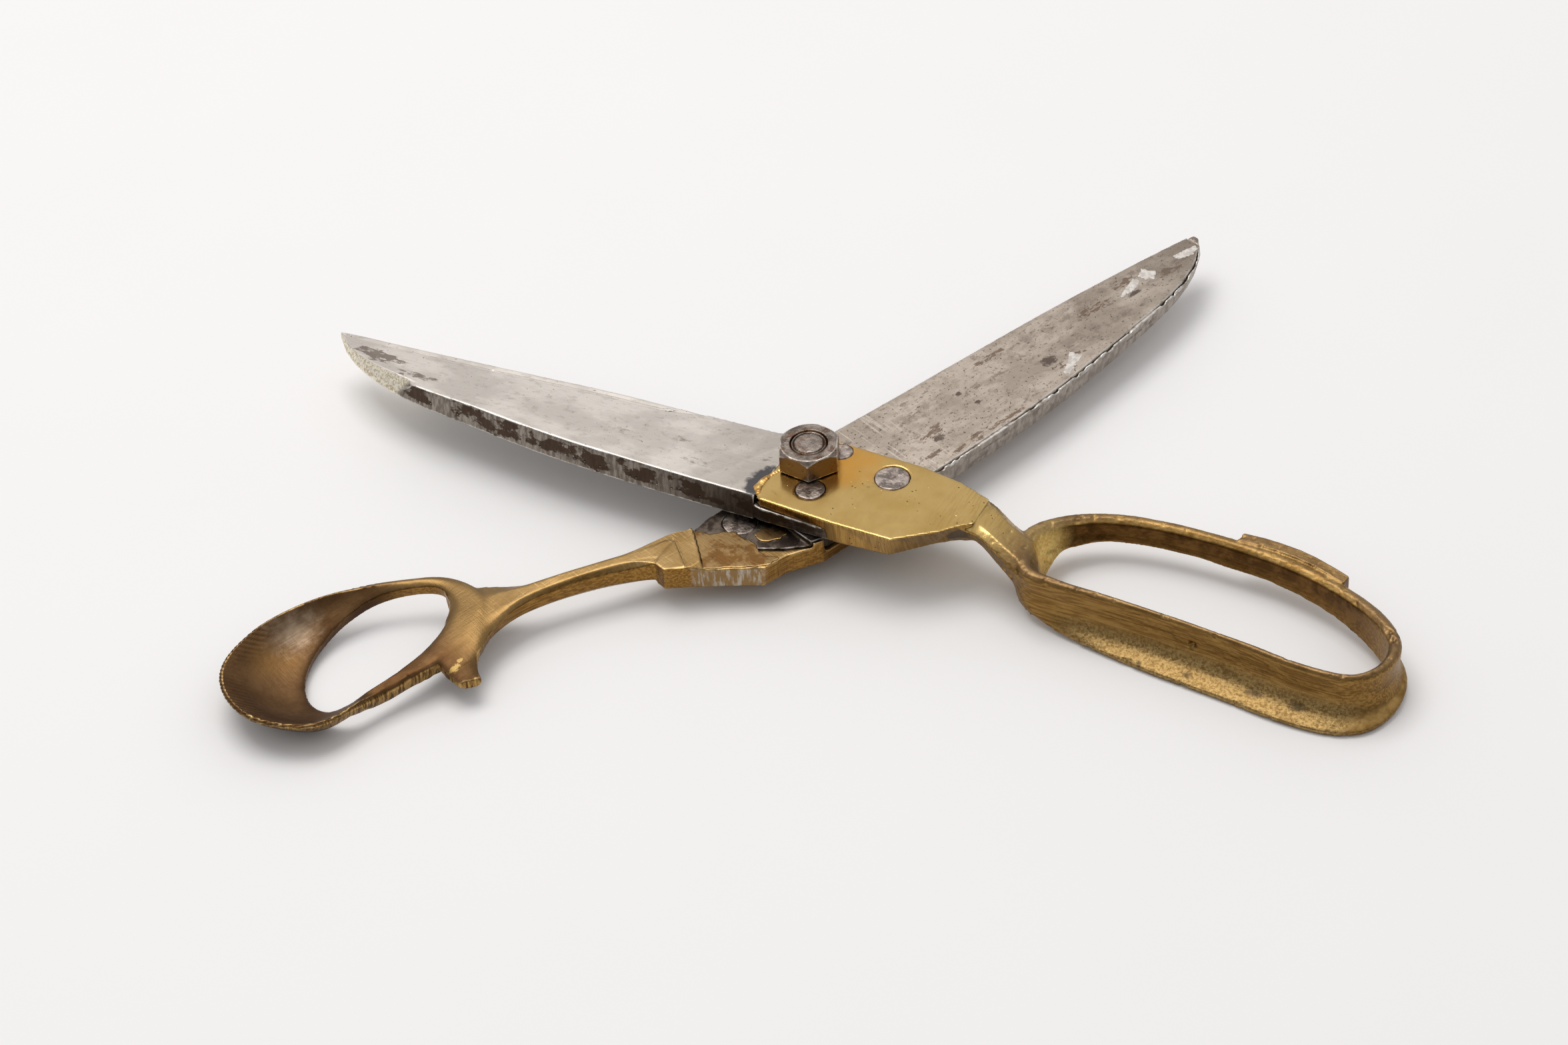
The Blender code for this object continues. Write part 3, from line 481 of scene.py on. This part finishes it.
def rivet_iron(half):
    """Grey, faintly rusted rivet heads, ground flush."""
    p = Paint("rivet_iron_" + half["body"], half)
    cloud = p.noise(0.5, 5.0, 0.6)
    base = p.mix(p.fade(cloud, 0.38, 0.62), colour(112, 102, 96), colour(170, 157, 148))
    base = p.mix(p.times(p.spots(0.8, 0.25, detail=4.0), 0.6), base, colour(112, 92, 80))
    rough = p.math("MULTIPLY_ADD", cloud, 0.25, 0.20)
    return p.finish(base, rough, [(p.noise(1.5, 4.0), 0.10)])


def braze(name, half, light, dark):
    """Run brass: lumpy, warm and dirty."""
    p = Paint(name, half)
    cloud = p.noise(0.22, 6.0, 0.66)
    scrape = p.noise(1.0, 3.0, stretch=(2.6, 0.25, 1.0))
    base = p.mix(p.fade(cloud, 0.42, 0.56), dark, light)
    base = p.mix(p.times(p.fade(scrape, 0.50, 0.66), 0.4), base, dark)
    base = p.mix(p.times(p.spots(0.30, 0.16, detail=6.0), 0.7), base, colour(92, 76, 62))
    base = p.mix(p.times(p.raised_edges(), 0.8), base, colour(232, 196, 132))
    rough = p.math("MULTIPLY_ADD", scrape, 0.25, 0.22)
    return p.finish(base, rough, [(cloud, 0.05), (scrape, 0.03)])


def old_paint():
    """Dull off-white paint."""
    p = Paint("old_white_paint", LOWER)
    base = p.mix(p.fade(p.noise(0.8, 4.0), 0.4, 0.6), colour(196, 188, 180), colour(224, 218, 211))
    return p.finish(base, 0.7, [(p.noise(1.5, 3.0), 0.06)], metal=0.0)


def floor_paper():
    """Plain pale paper."""
    p = Paint("white_table", LOWER, Specular_IOR_Level=0.2)
    base = p.mix(p.noise(0.02, 3.0), colour(243, 241, 240), colour(245, 243, 242))
    return p.finish(base, 0.6, [(p.noise(0.5, 3.0), 0.02)], metal=0.0)


# Fine meshes ------------------------------------------------------------------------------

def ease(value, low, high):
    """0 below low, 1 above high and a smooth change in between; low may be the larger."""
    share = np.clip((value - low) / (high - low), 0.0, 1.0)
    return share * share * (3 - 2 * share)


def settled(mesh, voxel, smoothing):
    """The shape of a mesh, made again of even small faces and smoothed."""
    holder = bpy.data.objects.new(mesh.name + "_holder", mesh)
    bpy.context.scene.collection.objects.link(holder)
    remesh = holder.modifiers.new("Remesh", "REMESH")
    remesh.mode = "VOXEL"
    remesh.voxel_size = voxel * MM
    smooth = holder.modifiers.new("Smooth", "SMOOTH")
    smooth.factor = 0.5
    smooth.iterations = smoothing
    graph = bpy.context.evaluated_depsgraph_get()
    made = bpy.data.meshes.new_from_object(holder.evaluated_get(graph))
    bpy.data.objects.remove(holder)
    made.shade_smooth()
    return made


def closed_copy(node):
    """A CAD node's mesh with its corners joined again."""
    plain = bmesh.new()
    plain.from_mesh(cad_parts[node].data)
    bmesh.ops.remove_doubles(plain, verts=plain.verts, dist=1e-6)
    mesh = bpy.data.meshes.new(node + "_closed")
    mesh.from_pydata([v.co for v in plain.verts], [],
                     [[v.index for v in face.verts] for face in plain.faces])
    plain.free()
    return mesh


class Clay:
    """A fine mesh to be worked. points and normals are rows of (s, w, z), in millimetres."""

    def __init__(self, mesh, half, voxel, smoothing=2):
        self.mesh = settled(mesh, voxel, smoothing)
        self.half = half
        across, along = math.sin(half["turn"]), math.cos(half["turn"])
        side = half["side"]
        self.axes = np.array([[along, across, 0], [-side * across, side * along, 0], [0, 0, 1]])
        size = len(self.mesh.vertices) * 3
        points = np.empty(size)
        normals = np.empty(size)
        self.mesh.vertices.foreach_get("co", points)
        self.mesh.vertex_normals.foreach_get("vector", normals)
        self.points = points.reshape(-1, 3) @ self.axes.T / MM
        self.normals = normals.reshape(-1, 3) @ self.axes.T
        edges = np.empty(len(self.mesh.edges) * 2, dtype=np.int32)
        self.mesh.edges.foreach_get("vertices", edges)
        ends = edges.reshape(-1, 2)
        self.here = np.concatenate([ends[:, 0], ends[:, 1]])
        self.there = np.concatenate([ends[:, 1], ends[:, 0]])
        self.degree = np.maximum(np.bincount(self.here, minlength=len(self.points)), 1)
        # Corners stand out from the mean of their neighbours, and hollows lie below it.
        bulge = np.sum((self.points - self.around(self.points)) * self.normals, axis=1)
        for _ in range(4):
            bulge = (bulge + self.around(bulge[:, None])[:, 0]) / 2
        sharp = 0.13 * voxel
        self.wear = np.clip(bulge / sharp, -1.0, 1.0)

    def around(self, values):
        """The mean of each point's neighbours, for every column of values."""
        size = len(self.points)
        sums = [np.bincount(self.here, column[self.there], size) for column in values.T]
        return np.stack(sums, axis=1) / self.degree[:, None]

    def melt(self, share, rounds):
        """Softens the shape where share is above 0."""
        for _ in range(rounds):
            self.points += (self.around(self.points) - self.points) * np.reshape(share / 2, (-1, 1))

    def wave(self, scale, seed):
        """Smooth noise from about -1 to 1 at every point, with scale waves per millimetre."""
        places = self.points * scale + seed
        return np.array([noise.noise(Vector(place)) for place in places])

    def near(self, centre, radius):
        """1 at a place, falling to 0 at the given radii."""
        away = np.linalg.norm((self.points - centre) / radius, axis=1)
        return ease(away, 1.0, 0.0)

    def push(self, amount):
        """Moves every point outwards by so many millimetres."""
        self.points += self.normals * np.reshape(amount, (-1, 1))

    def piece(self, name, material, slot):
        """The finished piece, riding on its half."""
        world = self.points @ self.axes * MM
        self.mesh.vertices.foreach_set("co", world.ravel())
        self.mesh.update()
        self.mesh.attributes.new(WEAR, "FLOAT", "POINT").data.foreach_set("value", self.wear)
        self.mesh.materials.append(material)
        made = bpy.data.objects.new(name, self.mesh)
        bpy.context.scene.collection.objects.link(made)
        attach(made, self.half["body"])
        return made


def spine_line(clay):
    """w of the blade's spine at every point, measured on the mesh in steps of 1 mm along s."""
    first = math.floor(clay.points[:, 0].min())
    step = (clay.points[:, 0] - first).astype(int)
    lowest = np.full(step.max() + 1, 99.0)
    np.minimum.at(lowest, step, clay.points[:, 1])
    line = np.convolve(np.pad(lowest, 1, "edge"), np.ones(3) / 3, "valid")
    return np.interp(clay.points[:, 0], first + 0.5 + np.arange(len(line)), line)


def shape_upper_blade(clay):
    """Brings the root flush with the side of the brass plate, and slants the tip's side."""
    spine = spine_line(clay)
    s, w, z = clay.points.T
    flush = np.interp(s, [-20.0, ROOT], [-15.5, -16.15])
    side = ease(w, spine + 3.0, spine + 0.6) * ease(s, ROOT, ROOT - 0.4) * ease(s, -19.0, -15.0)
    clay.points[:, 1] += np.minimum(flush - spine, 0.0) * side
    slant = MATING_Z + 0.5 + (w - spine) * 1.5
    clay.points[:, 2] += (np.minimum(z, slant) - z) * ease(s, 97.0, 102.0)


def shape_lower_blade(clay):
    """Chips the iron's rim along the seam of the spine, and rounds the tip."""
    spine = spine_line(clay)
    s, w, z = clay.points.T
    rim = (s > 13) & (w < spine + 0.8) & (z > 8.5)
    gaps = ease(clay.wave(0.09, 7.0), -0.05, 0.15)
    chips = ease(clay.wave(0.6, 3.0), -0.1, 0.3) * gaps
    clay.points[:, 1] += np.where(rim & (w > spine + 0.35), 0.26 * (1 - gaps), 0.0)
    clay.points[:, 2] -= np.where(rim & (z > 10.2), 0.60 * chips, 0.0)
    clay.melt(clay.near((125.5, 1.8, 9.5), (4.5, 4.0, 4.0)) ** 0.5, 30)


def make_blade_surface(node, half, material):
    """A blade's fine surface, forged uneven."""
    clay = Clay(closed_copy(node), half, FINE["blade"])
    if node == "upper_blade":
        shape_upper_blade(clay)
    else:
        shape_lower_blade(clay)
    clay.push(0.035 * clay.wave(0.16, 1.0) + 0.015 * clay.wave(0.6, 2.0))
    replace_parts(clay.piece(node + "_surface", material, "forged_iron"), node)


def make_facing_surface(node, half, material):
    """The cutting steel's fine surface, ground uneven and close against the iron."""
    clay = Clay(closed_copy(node), half, FINE["facing"])
    clay.push(0.025 * clay.wave(0.16, 1.0) + 0.015 * clay.wave(0.6, 2.0))
    # The face against the iron, and the tip, come up to the iron's own.
    outer = np.abs(clay.points[:, 2] - MATING_Z) > 0.35
    clay.points[:, 2] += np.where(outer, -half["side"] * 0.2, 0.0)
    clay.points[:, 0] += 0.3 * ease(clay.points[:, 0], 120.0, 122.0)
    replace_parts(clay.piece(node + "_surface", material, "cutting_steel"), node)


# Pits of the finger handle: place, reach and depth.
PITS = [((-96.5, -11.5, 7.2), (1.2, 2.4, 1.4), 1.3), ((-134.8, 5.6, 11.8), (1.4, 1.0, 1.5), 0.8),
        ((-136.4, 3.4, 12.0), (1.0, 1.3, 1.5), 0.7), ((-50.6, -6.8, 8.8), (0.9, 0.9, 1.5), 0.7),
        ((-52.6, -7.9, 8.8), (0.8, 0.8, 1.5), 0.8), ((-57.0, -9.6, 12.4), (0.8, 0.8, 1.5), 0.6),
        ((-62.4, -11.2, 12.4), (0.8, 0.8, 1.5), 0.5), ((6.0, -15.4, 16.0), (1.6, 1.4, 3.0), 0.9)]


def soften_finger_handle(clay):
    """Rounds the cove above the flange, the crease of the neck and the scoop behind it."""
    s, w, z = clay.points.T
    apart = clay.points[:, :2] - BOW_MIDDLE
    outward = np.sum(apart * clay.normals[:, :2], axis=1) / np.hypot(*apart.T)
    cove = ease(z, 8.5, 7.0) * ease(z, 1.2, 2.6) * ease(np.maximum(outward, clay.normals[:, 2]), 0.0, 0.3)
    clay.melt(cove * ease(w, -6, -9), 90)
    crease = clay.near((-42.0, 0.5, 16.4), (5.0, 6.5, 4.0)) ** 0.5
    clay.melt(crease * ease(clay.normals[:, 2], 0.6, 0.8), 70)
    scoop = clay.near((-54.5, 2.5, 8.0), (9.0, 10.0, 6.5)) ** 0.5
    clay.melt(scoop * ease(z, 11.2, 9.6), 90)
    pad = (w > 16) & (s > -124) & (s < -93)
    clay.points[:, 2] = np.where(pad, np.minimum(z, PAD_TOP), z)


def make_finger_surface(material):
    """The finger handle's fine surface: flat plate, cast bow with grain, pits and bitten rims."""
    clay = Clay(closed_copy("finger_handle"), UPPER, FINE["finger"])
    soften_finger_handle(clay)
    s, w, z = clay.points.T
    bow = ease(s, -42, -54)
    rim = ease(z, 2.2, 0.8) * ease(w, -10, -13) * bow
    ridge = ease(z, 10.2, 11.2) * bow
    grain = clay.wave(1.3, 1.0)
    lumps = clay.wave(0.13, 2.0)
    bites = ease(clay.wave(0.7, 3.0), 0.25, 0.6)
    clay.push(bow * (0.10 * lumps + 0.045 * grain) - 0.32 * rim * bites - 0.24 * ridge * bites
              + 0.012 * clay.wave(0.3, 4.0))
    for centre, radius, depth in PITS:
        clay.push(-depth * clay.near(centre, radius))
    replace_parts(clay.piece("finger_handle_surface", material, "finger_brass"), "finger_handle")


def raise_shank_root(clay):
    """A step across the shank's root, up from the tang's level."""
    s, w, z = clay.points.T
    place, way = STEP
    beyond = (s - place[0]) * way[0] + (w - place[1]) * way[1]
    step = ease(beyond, -1.8, -1.2) * ease(beyond, 16, 1) * ease(w, -6, 4) * ease(z, 6.5, 8.5)
    raised = np.maximum(z, np.minimum(z + 2.6 * step, STEP_TOP))
    clay.points[:, 2] = np.where(step > 0, raised, z)


def make_thumb_surface(material):
    """The thumb handle's fine surface: smooth rest, toothed rim, drawn-back spur and a step."""
    clay = Clay(closed_copy("thumb_handle"), LOWER, FINE["thumb"], 3)
    s, w, z = clay.points.T
    web = ease(s, -98, -93) * ease(s, -71, -78) * ease(clay.normals[:, 2], 0.5, 0.8)
    clay.points[:, 0] += 1.7 * clay.near((-83.0, 27.5, 8.0), (5.0, 7.0, 5.0))
    clay.melt(web, 50)
    rest = ease(s, -93, -98) * ease(clay.around(clay.wear[:, None])[:, 0], 0.35, 0.12)
    clay.melt(rest, 150)
    clay.points[:, 2] -= 0.7 * clay.near((-90.5, 6.8, 6.0), (5.0, 5.0, 9.0)) ** 0.5
    clay.points[:, 2] -= 1.3 * clay.near((-106.0, 17.0, 4.5), (11.0, 4.0, 4.0)) ** 0.5
    raise_shank_root(clay)
    bow = ease(s, -84, -94)
    rim = bow * ease(s, -112, -120) * ease(z, 5.5, 7.5)
    teeth = ease(np.sin((s * 0.6 + w) * 2 * math.pi / TOOTH), 0.0, 1.0)
    ragged = clay.near((-97.5, 14.6, 5.2), (9.0, 4.0, 3.0))
    clay.push(bow * (0.05 * clay.wave(0.13, 2.0) + 0.02 * clay.wave(1.1, 1.0))
              - 0.20 * rim * teeth + ragged * 0.5 * clay.wave(0.6, 5.0)
              + 0.012 * clay.wave(0.3, 4.0))
    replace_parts(clay.piece("thumb_handle_surface", material, "thumb_brass"), "thumb_handle")


def make_nut_surface(material):
    """The nut, slightly battered, rubbed bright only at its corners."""
    clay = Clay(closed_copy("pivot_nut"), LOWER, FINE["nut"], 3)
    clay.push(0.03 * clay.wave(0.35, 1.0))
    clay.wear *= np.hypot(*clay.points[:, :2].T) > 5.0
    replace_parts(clay.piece("pivot_nut_surface", material, "bolt_steel"), "pivot_nut")


def make_bolt_surface(material):
    """The bolt, spread over the nut's hole, with a dark ring pressed into its top."""
    clay = Clay(closed_copy("pivot_bolt"), LOWER, FINE["bolt"])
    reach = np.hypot(*clay.points[:, :2].T)
    outward = clay.points[:, :2] / np.maximum(reach, 0.1)[:, None]
    spread = (clay.points[:, 2] > 18.0) & (reach > 2.5)
    clay.points[:, :2] += outward * np.where(spread, 0.45, 0.0)[:, None]
    reach = np.hypot(*clay.points[:, :2].T)
    top = clay.points[:, 2] > 22.4
    ring = ease(np.abs(reach - 3.45), 0.26, 0.10) * top
    clay.points[:, 2] += 0.10 * ease(reach, 3.6, 3.8) * top - 0.25 * ring
    clay.wear = np.where(ring > 0.3, -0.7, clay.wear * (reach < 3.2))
    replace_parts(clay.piece("pivot_bolt_surface", material, "bolt_steel"), "pivot_bolt")


def make_rivet_surface(node, half, material):
    """A rivet, spread unevenly to fill its hole up to a hairline."""
    clay = Clay(closed_copy(node), half, FINE["rivet"])
    low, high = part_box(node)
    centre = np.array((low + high) / 2 / MM) @ clay.axes.T
    outward = clay.points[:, :2] - centre[:2]
    reach = np.hypot(*outward.T)
    grown = 0.27 + 0.25 * clay.wave(0.35, 5.0)
    share = ease(reach, 1.0, 2.0) * grown / np.maximum(reach, 0.1)
    clay.points[:, :2] += outward * share[:, None]
    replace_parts(clay.piece(node + "_surface", material, "rivet_iron"), node)


# Small added pieces -----------------------------------------------------------------------

# Outlines are corners (s, w). The bead is a row of (s, w, radius).
FILM = [(-29.4, 8.4), (-27.4, 5.8), (-26.6, 3.8), (-23.6, 2.1), (-21.9, 0.5), (-22.4, -1.8),
        (-21.6, -3.8), (-21.3, -5.2), (-22.4, -7.7), (-22.4, -10.2), (-20.6, -12.2), (-20.8, -13.0),
        (-24.6, -12.6), (-31.0, -7.2), (-36.0, -2.9), (-35.2, 0.0), (-32.4, 6.4)]
OVAL = [(-19.8, -3.2), (-20.3, -5.1), (-18.9, -7.0), (-16.4, -8.1), (-14.5, -8.0), (-13.6, -6.9),
        (-15.2, -4.2), (-17.4, -2.6)]
FLAKES = [
    [(116.2, 1.2), (120.9, 0.7), (122.6, 0.4), (122.4, -0.9), (119.6, -1.6), (115.7, -0.6)],
    [(107.1, 3.0), (109.0, -0.3), (106.7, -1.8), (104.8, -0.4), (104.5, 1.6)],
    [(103.0, 1.8), (103.8, 0.1), (100.0, -1.7), (98.3, -1.3), (96.0, -1.6), (96.4, -0.8), (100.6, 0.9)],
    [(73.5, -7.2), (74.8, -10.3), (71.1, -11.7), (67.7, -13.2), (67.3, -11.6), (70.3, -9.7)],
]
BEAD = [(4.3, -3.8, 0.6), (5.7, -6.6, 0.8), (6.7, -9.6, 1.0), (7.0, -12.0, 1.1), (5.9, -13.7, 0.8)]


def slab(name, half, outline, low, high, voxel):
    """A thin closed plate over an outline of (s, w), as a fine mesh to be worked."""
    across, along = math.sin(half["turn"]), math.cos(half["turn"])
    side = half["side"]
    corners = [(s * along - side * w * across, s * across + side * w * along) for s, w in outline]
    count = len(corners)
    rows = [(x * MM, y * MM, z * MM) for z in (low, high) for x, y in corners]
    faces = [tuple(range(count)), tuple(range(count, 2 * count))]
    for k in range(count):
        after = (k + 1) % count
        faces.append((k, after, count + after, count + k))
    mesh = bpy.data.meshes.new(name)
    mesh.from_pydata(rows, [], faces)
    shell = bmesh.new()
    shell.from_mesh(mesh)
    bmesh.ops.recalc_face_normals(shell, faces=shell.faces)
    shell.to_mesh(mesh)
    shell.free()
    return Clay(mesh, half, voxel, 1)


def ragged_edge(clay, outline, amount, scale, seed):
    """Moves the rim of a plate in and out."""
    middle = np.mean(np.array(outline), axis=0)
    outward = clay.points[:, :2] - middle
    reach = np.maximum(np.hypot(*outward.T), 0.1)
    shift = amount * clay.wave(scale, seed)
    clay.points[:, :2] += outward * (shift / reach)[:, None]


def make_films(material):
    """Brass run over the tang of the lower half, and an oval patch of it beside."""
    for name, outline in (("tang_braze_film", FILM), ("tang_braze_patch", OVAL)):
        clay = slab(name, LOWER, outline, TANG_TOP - 0.35, TANG_TOP + 0.22, FINE["film"])
        ragged_edge(clay, outline, 0.45, 0.7, 3.0)
        clay.points[:, 2] += 0.05 * clay.wave(0.25, 4.0)
        clay.piece(name, material, "thumb_brass")


def make_flakes(material):
    """Flakes of old white paint on the lower blade's inner face."""
    face = MATING_Z - 0.15
    for number, outline in enumerate(FLAKES):
        name = f"paint_flake_{number + 1}"
        clay = slab(name, LOWER, outline, face - 0.2, face + 0.08, FINE["flake"])
        ragged_edge(clay, outline, 0.50, 1.7, number * 3.0)
        clay.piece(name, material, "cutting_steel")


def make_bead(material):
    """Bead of braze where the blade's root meets the end of the brass plate."""
    across, along = math.sin(UPPER["turn"]), math.cos(UPPER["turn"])
    steps = 4
    height = 17.0
    shell = bmesh.new()
    for k in range(steps * (len(BEAD) - 1) + 1):
        first = min(k // steps, len(BEAD) - 2)
        share = k / steps - first
        s, w, radius = [a + (b - a) * share for a, b in zip(BEAD[first], BEAD[first + 1])]
        place = Vector((s * along + w * across, s * across - w * along, height)) * MM
        ball = Matrix.Translation(place) @ Matrix.Diagonal((radius, radius, 0.55, 1.0))
        bmesh.ops.create_icosphere(shell, subdivisions=3, radius=MM, matrix=ball)
    mesh = bpy.data.meshes.new("bead")
    shell.to_mesh(mesh)
    shell.free()
    clay = Clay(mesh, UPPER, FINE["bead"])
    clay.push(0.14 * clay.wave(0.9, 6.0))
    clay.piece("plate_braze_bead", material, "finger_brass")


# Stage ------------------------------------------------------------------------------------

def make_stage(low):
    """A wide pale table top just below the shears."""
    mesh = bpy.data.meshes.new("table")
    height = min(low.z, 0.0) - 0.15 * MM
    corners = [(x * TABLE_REACH, y * TABLE_REACH, height) for x, y in ((-1, -1), (1, -1), (1, 1), (-1, 1))]
    mesh.from_pydata(corners, [], [(0, 1, 2, 3)])
    table = bpy.data.objects.new("table", mesh)
    bpy.context.scene.collection.objects.link(table)
    mesh.materials.append(floor_paper())
    table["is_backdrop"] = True


def make_lamp():
    """One large soft box behind and above."""
    lamp = bpy.data.lights.new("soft_box", "AREA")
    lamp.shape = "RECTANGLE"
    lamp.size, lamp.size_y = LAMP_SIZE
    lamp.energy = LAMP_POWER
    lamp.color = (1.0, 0.985, 0.965)
    box = bpy.data.objects.new("soft_box", lamp)
    bpy.context.scene.collection.objects.link(box)
    box.location = LAMP_PLACE
    box.rotation_euler = (-box.location.normalized()).to_track_quat("-Z", "Y").to_euler()


def make_room():
    """A pale room, darker low in front."""
    world = bpy.data.worlds.new("room")
    bpy.context.scene.world = world
    world.use_nodes = True
    nodes = world.node_tree.nodes
    links = world.node_tree.links
    parts = nodes.new("ShaderNodeSeparateXYZ")
    links.new(nodes.new("ShaderNodeTexCoord").outputs["Generated"], parts.inputs[0])
    lean = nodes.new("ShaderNodeMath")
    lean.operation = "MULTIPLY_ADD"
    links.new(parts.outputs[1], lean.inputs[0])
    lean.inputs[1].default_value = 0.5
    links.new(parts.outputs[2], lean.inputs[2])
    level = nodes.new("ShaderNodeMapRange")
    level.inputs["From Min"].default_value = -0.3
    level.inputs["From Max"].default_value = 0.9
    level.inputs["To Min"].default_value = ROOM_STRENGTH[0]
    level.inputs["To Max"].default_value = ROOM_STRENGTH[1]
    links.new(lean.outputs[0], level.inputs["Value"])
    back = nodes["Background"]
    back.inputs["Color"].default_value = (0.985, 0.99, 1.0, 1.0)
    links.new(level.outputs[0], back.inputs["Strength"])


def make_camera():
    """The camera, at the photograph's angle."""
    data = bpy.data.cameras.new("camera")
    data.lens = CAMERA_LENS
    camera = bpy.data.objects.new("camera", data)
    bpy.context.scene.collection.objects.link(camera)
    camera.location = CAMERA_PLACE
    tilt = Matrix.Rotation(math.radians(CAMERA_TILT), 3, "X")
    roll = Matrix.Rotation(math.radians(CAMERA_ROLL), 3, "Z")
    camera.rotation_euler = (tilt @ roll).to_euler()
    bpy.context.scene.camera = camera


bpy.context.scene.view_settings.view_transform = "Standard"
make_camera()
make_stage(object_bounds()[0])
make_lamp()
make_room()

steels = {"upper": upper_steel(), "lower": lower_steel()}
brass = finger_brass()
for prefix, half in (("upper", UPPER), ("lower", LOWER)):
    make_blade_surface(prefix + "_blade", half, steels[prefix])
    make_facing_surface(prefix + "_facing", half, steels[prefix])
make_finger_surface(brass)
make_thumb_surface(thumb_brass())
bolt = bolt_steel()
rivets = {"upper": rivet_iron(UPPER), "lower": rivet_iron(LOWER)}
make_nut_surface(bolt)
make_bolt_surface(bolt)
for prefix, half in (("upper", UPPER), ("lower", LOWER)):
    for place in ("front", "side", "rear"):
        make_rivet_surface(f"{prefix}_rivet_{place}", half, rivets[prefix])
make_films(braze("tang_braze", LOWER, colour(150, 122, 82), colour(118, 84, 46)))
make_flakes(old_paint())
make_bead(braze("plate_braze", UPPER, colour(222, 184, 116), colour(176, 134, 74)))
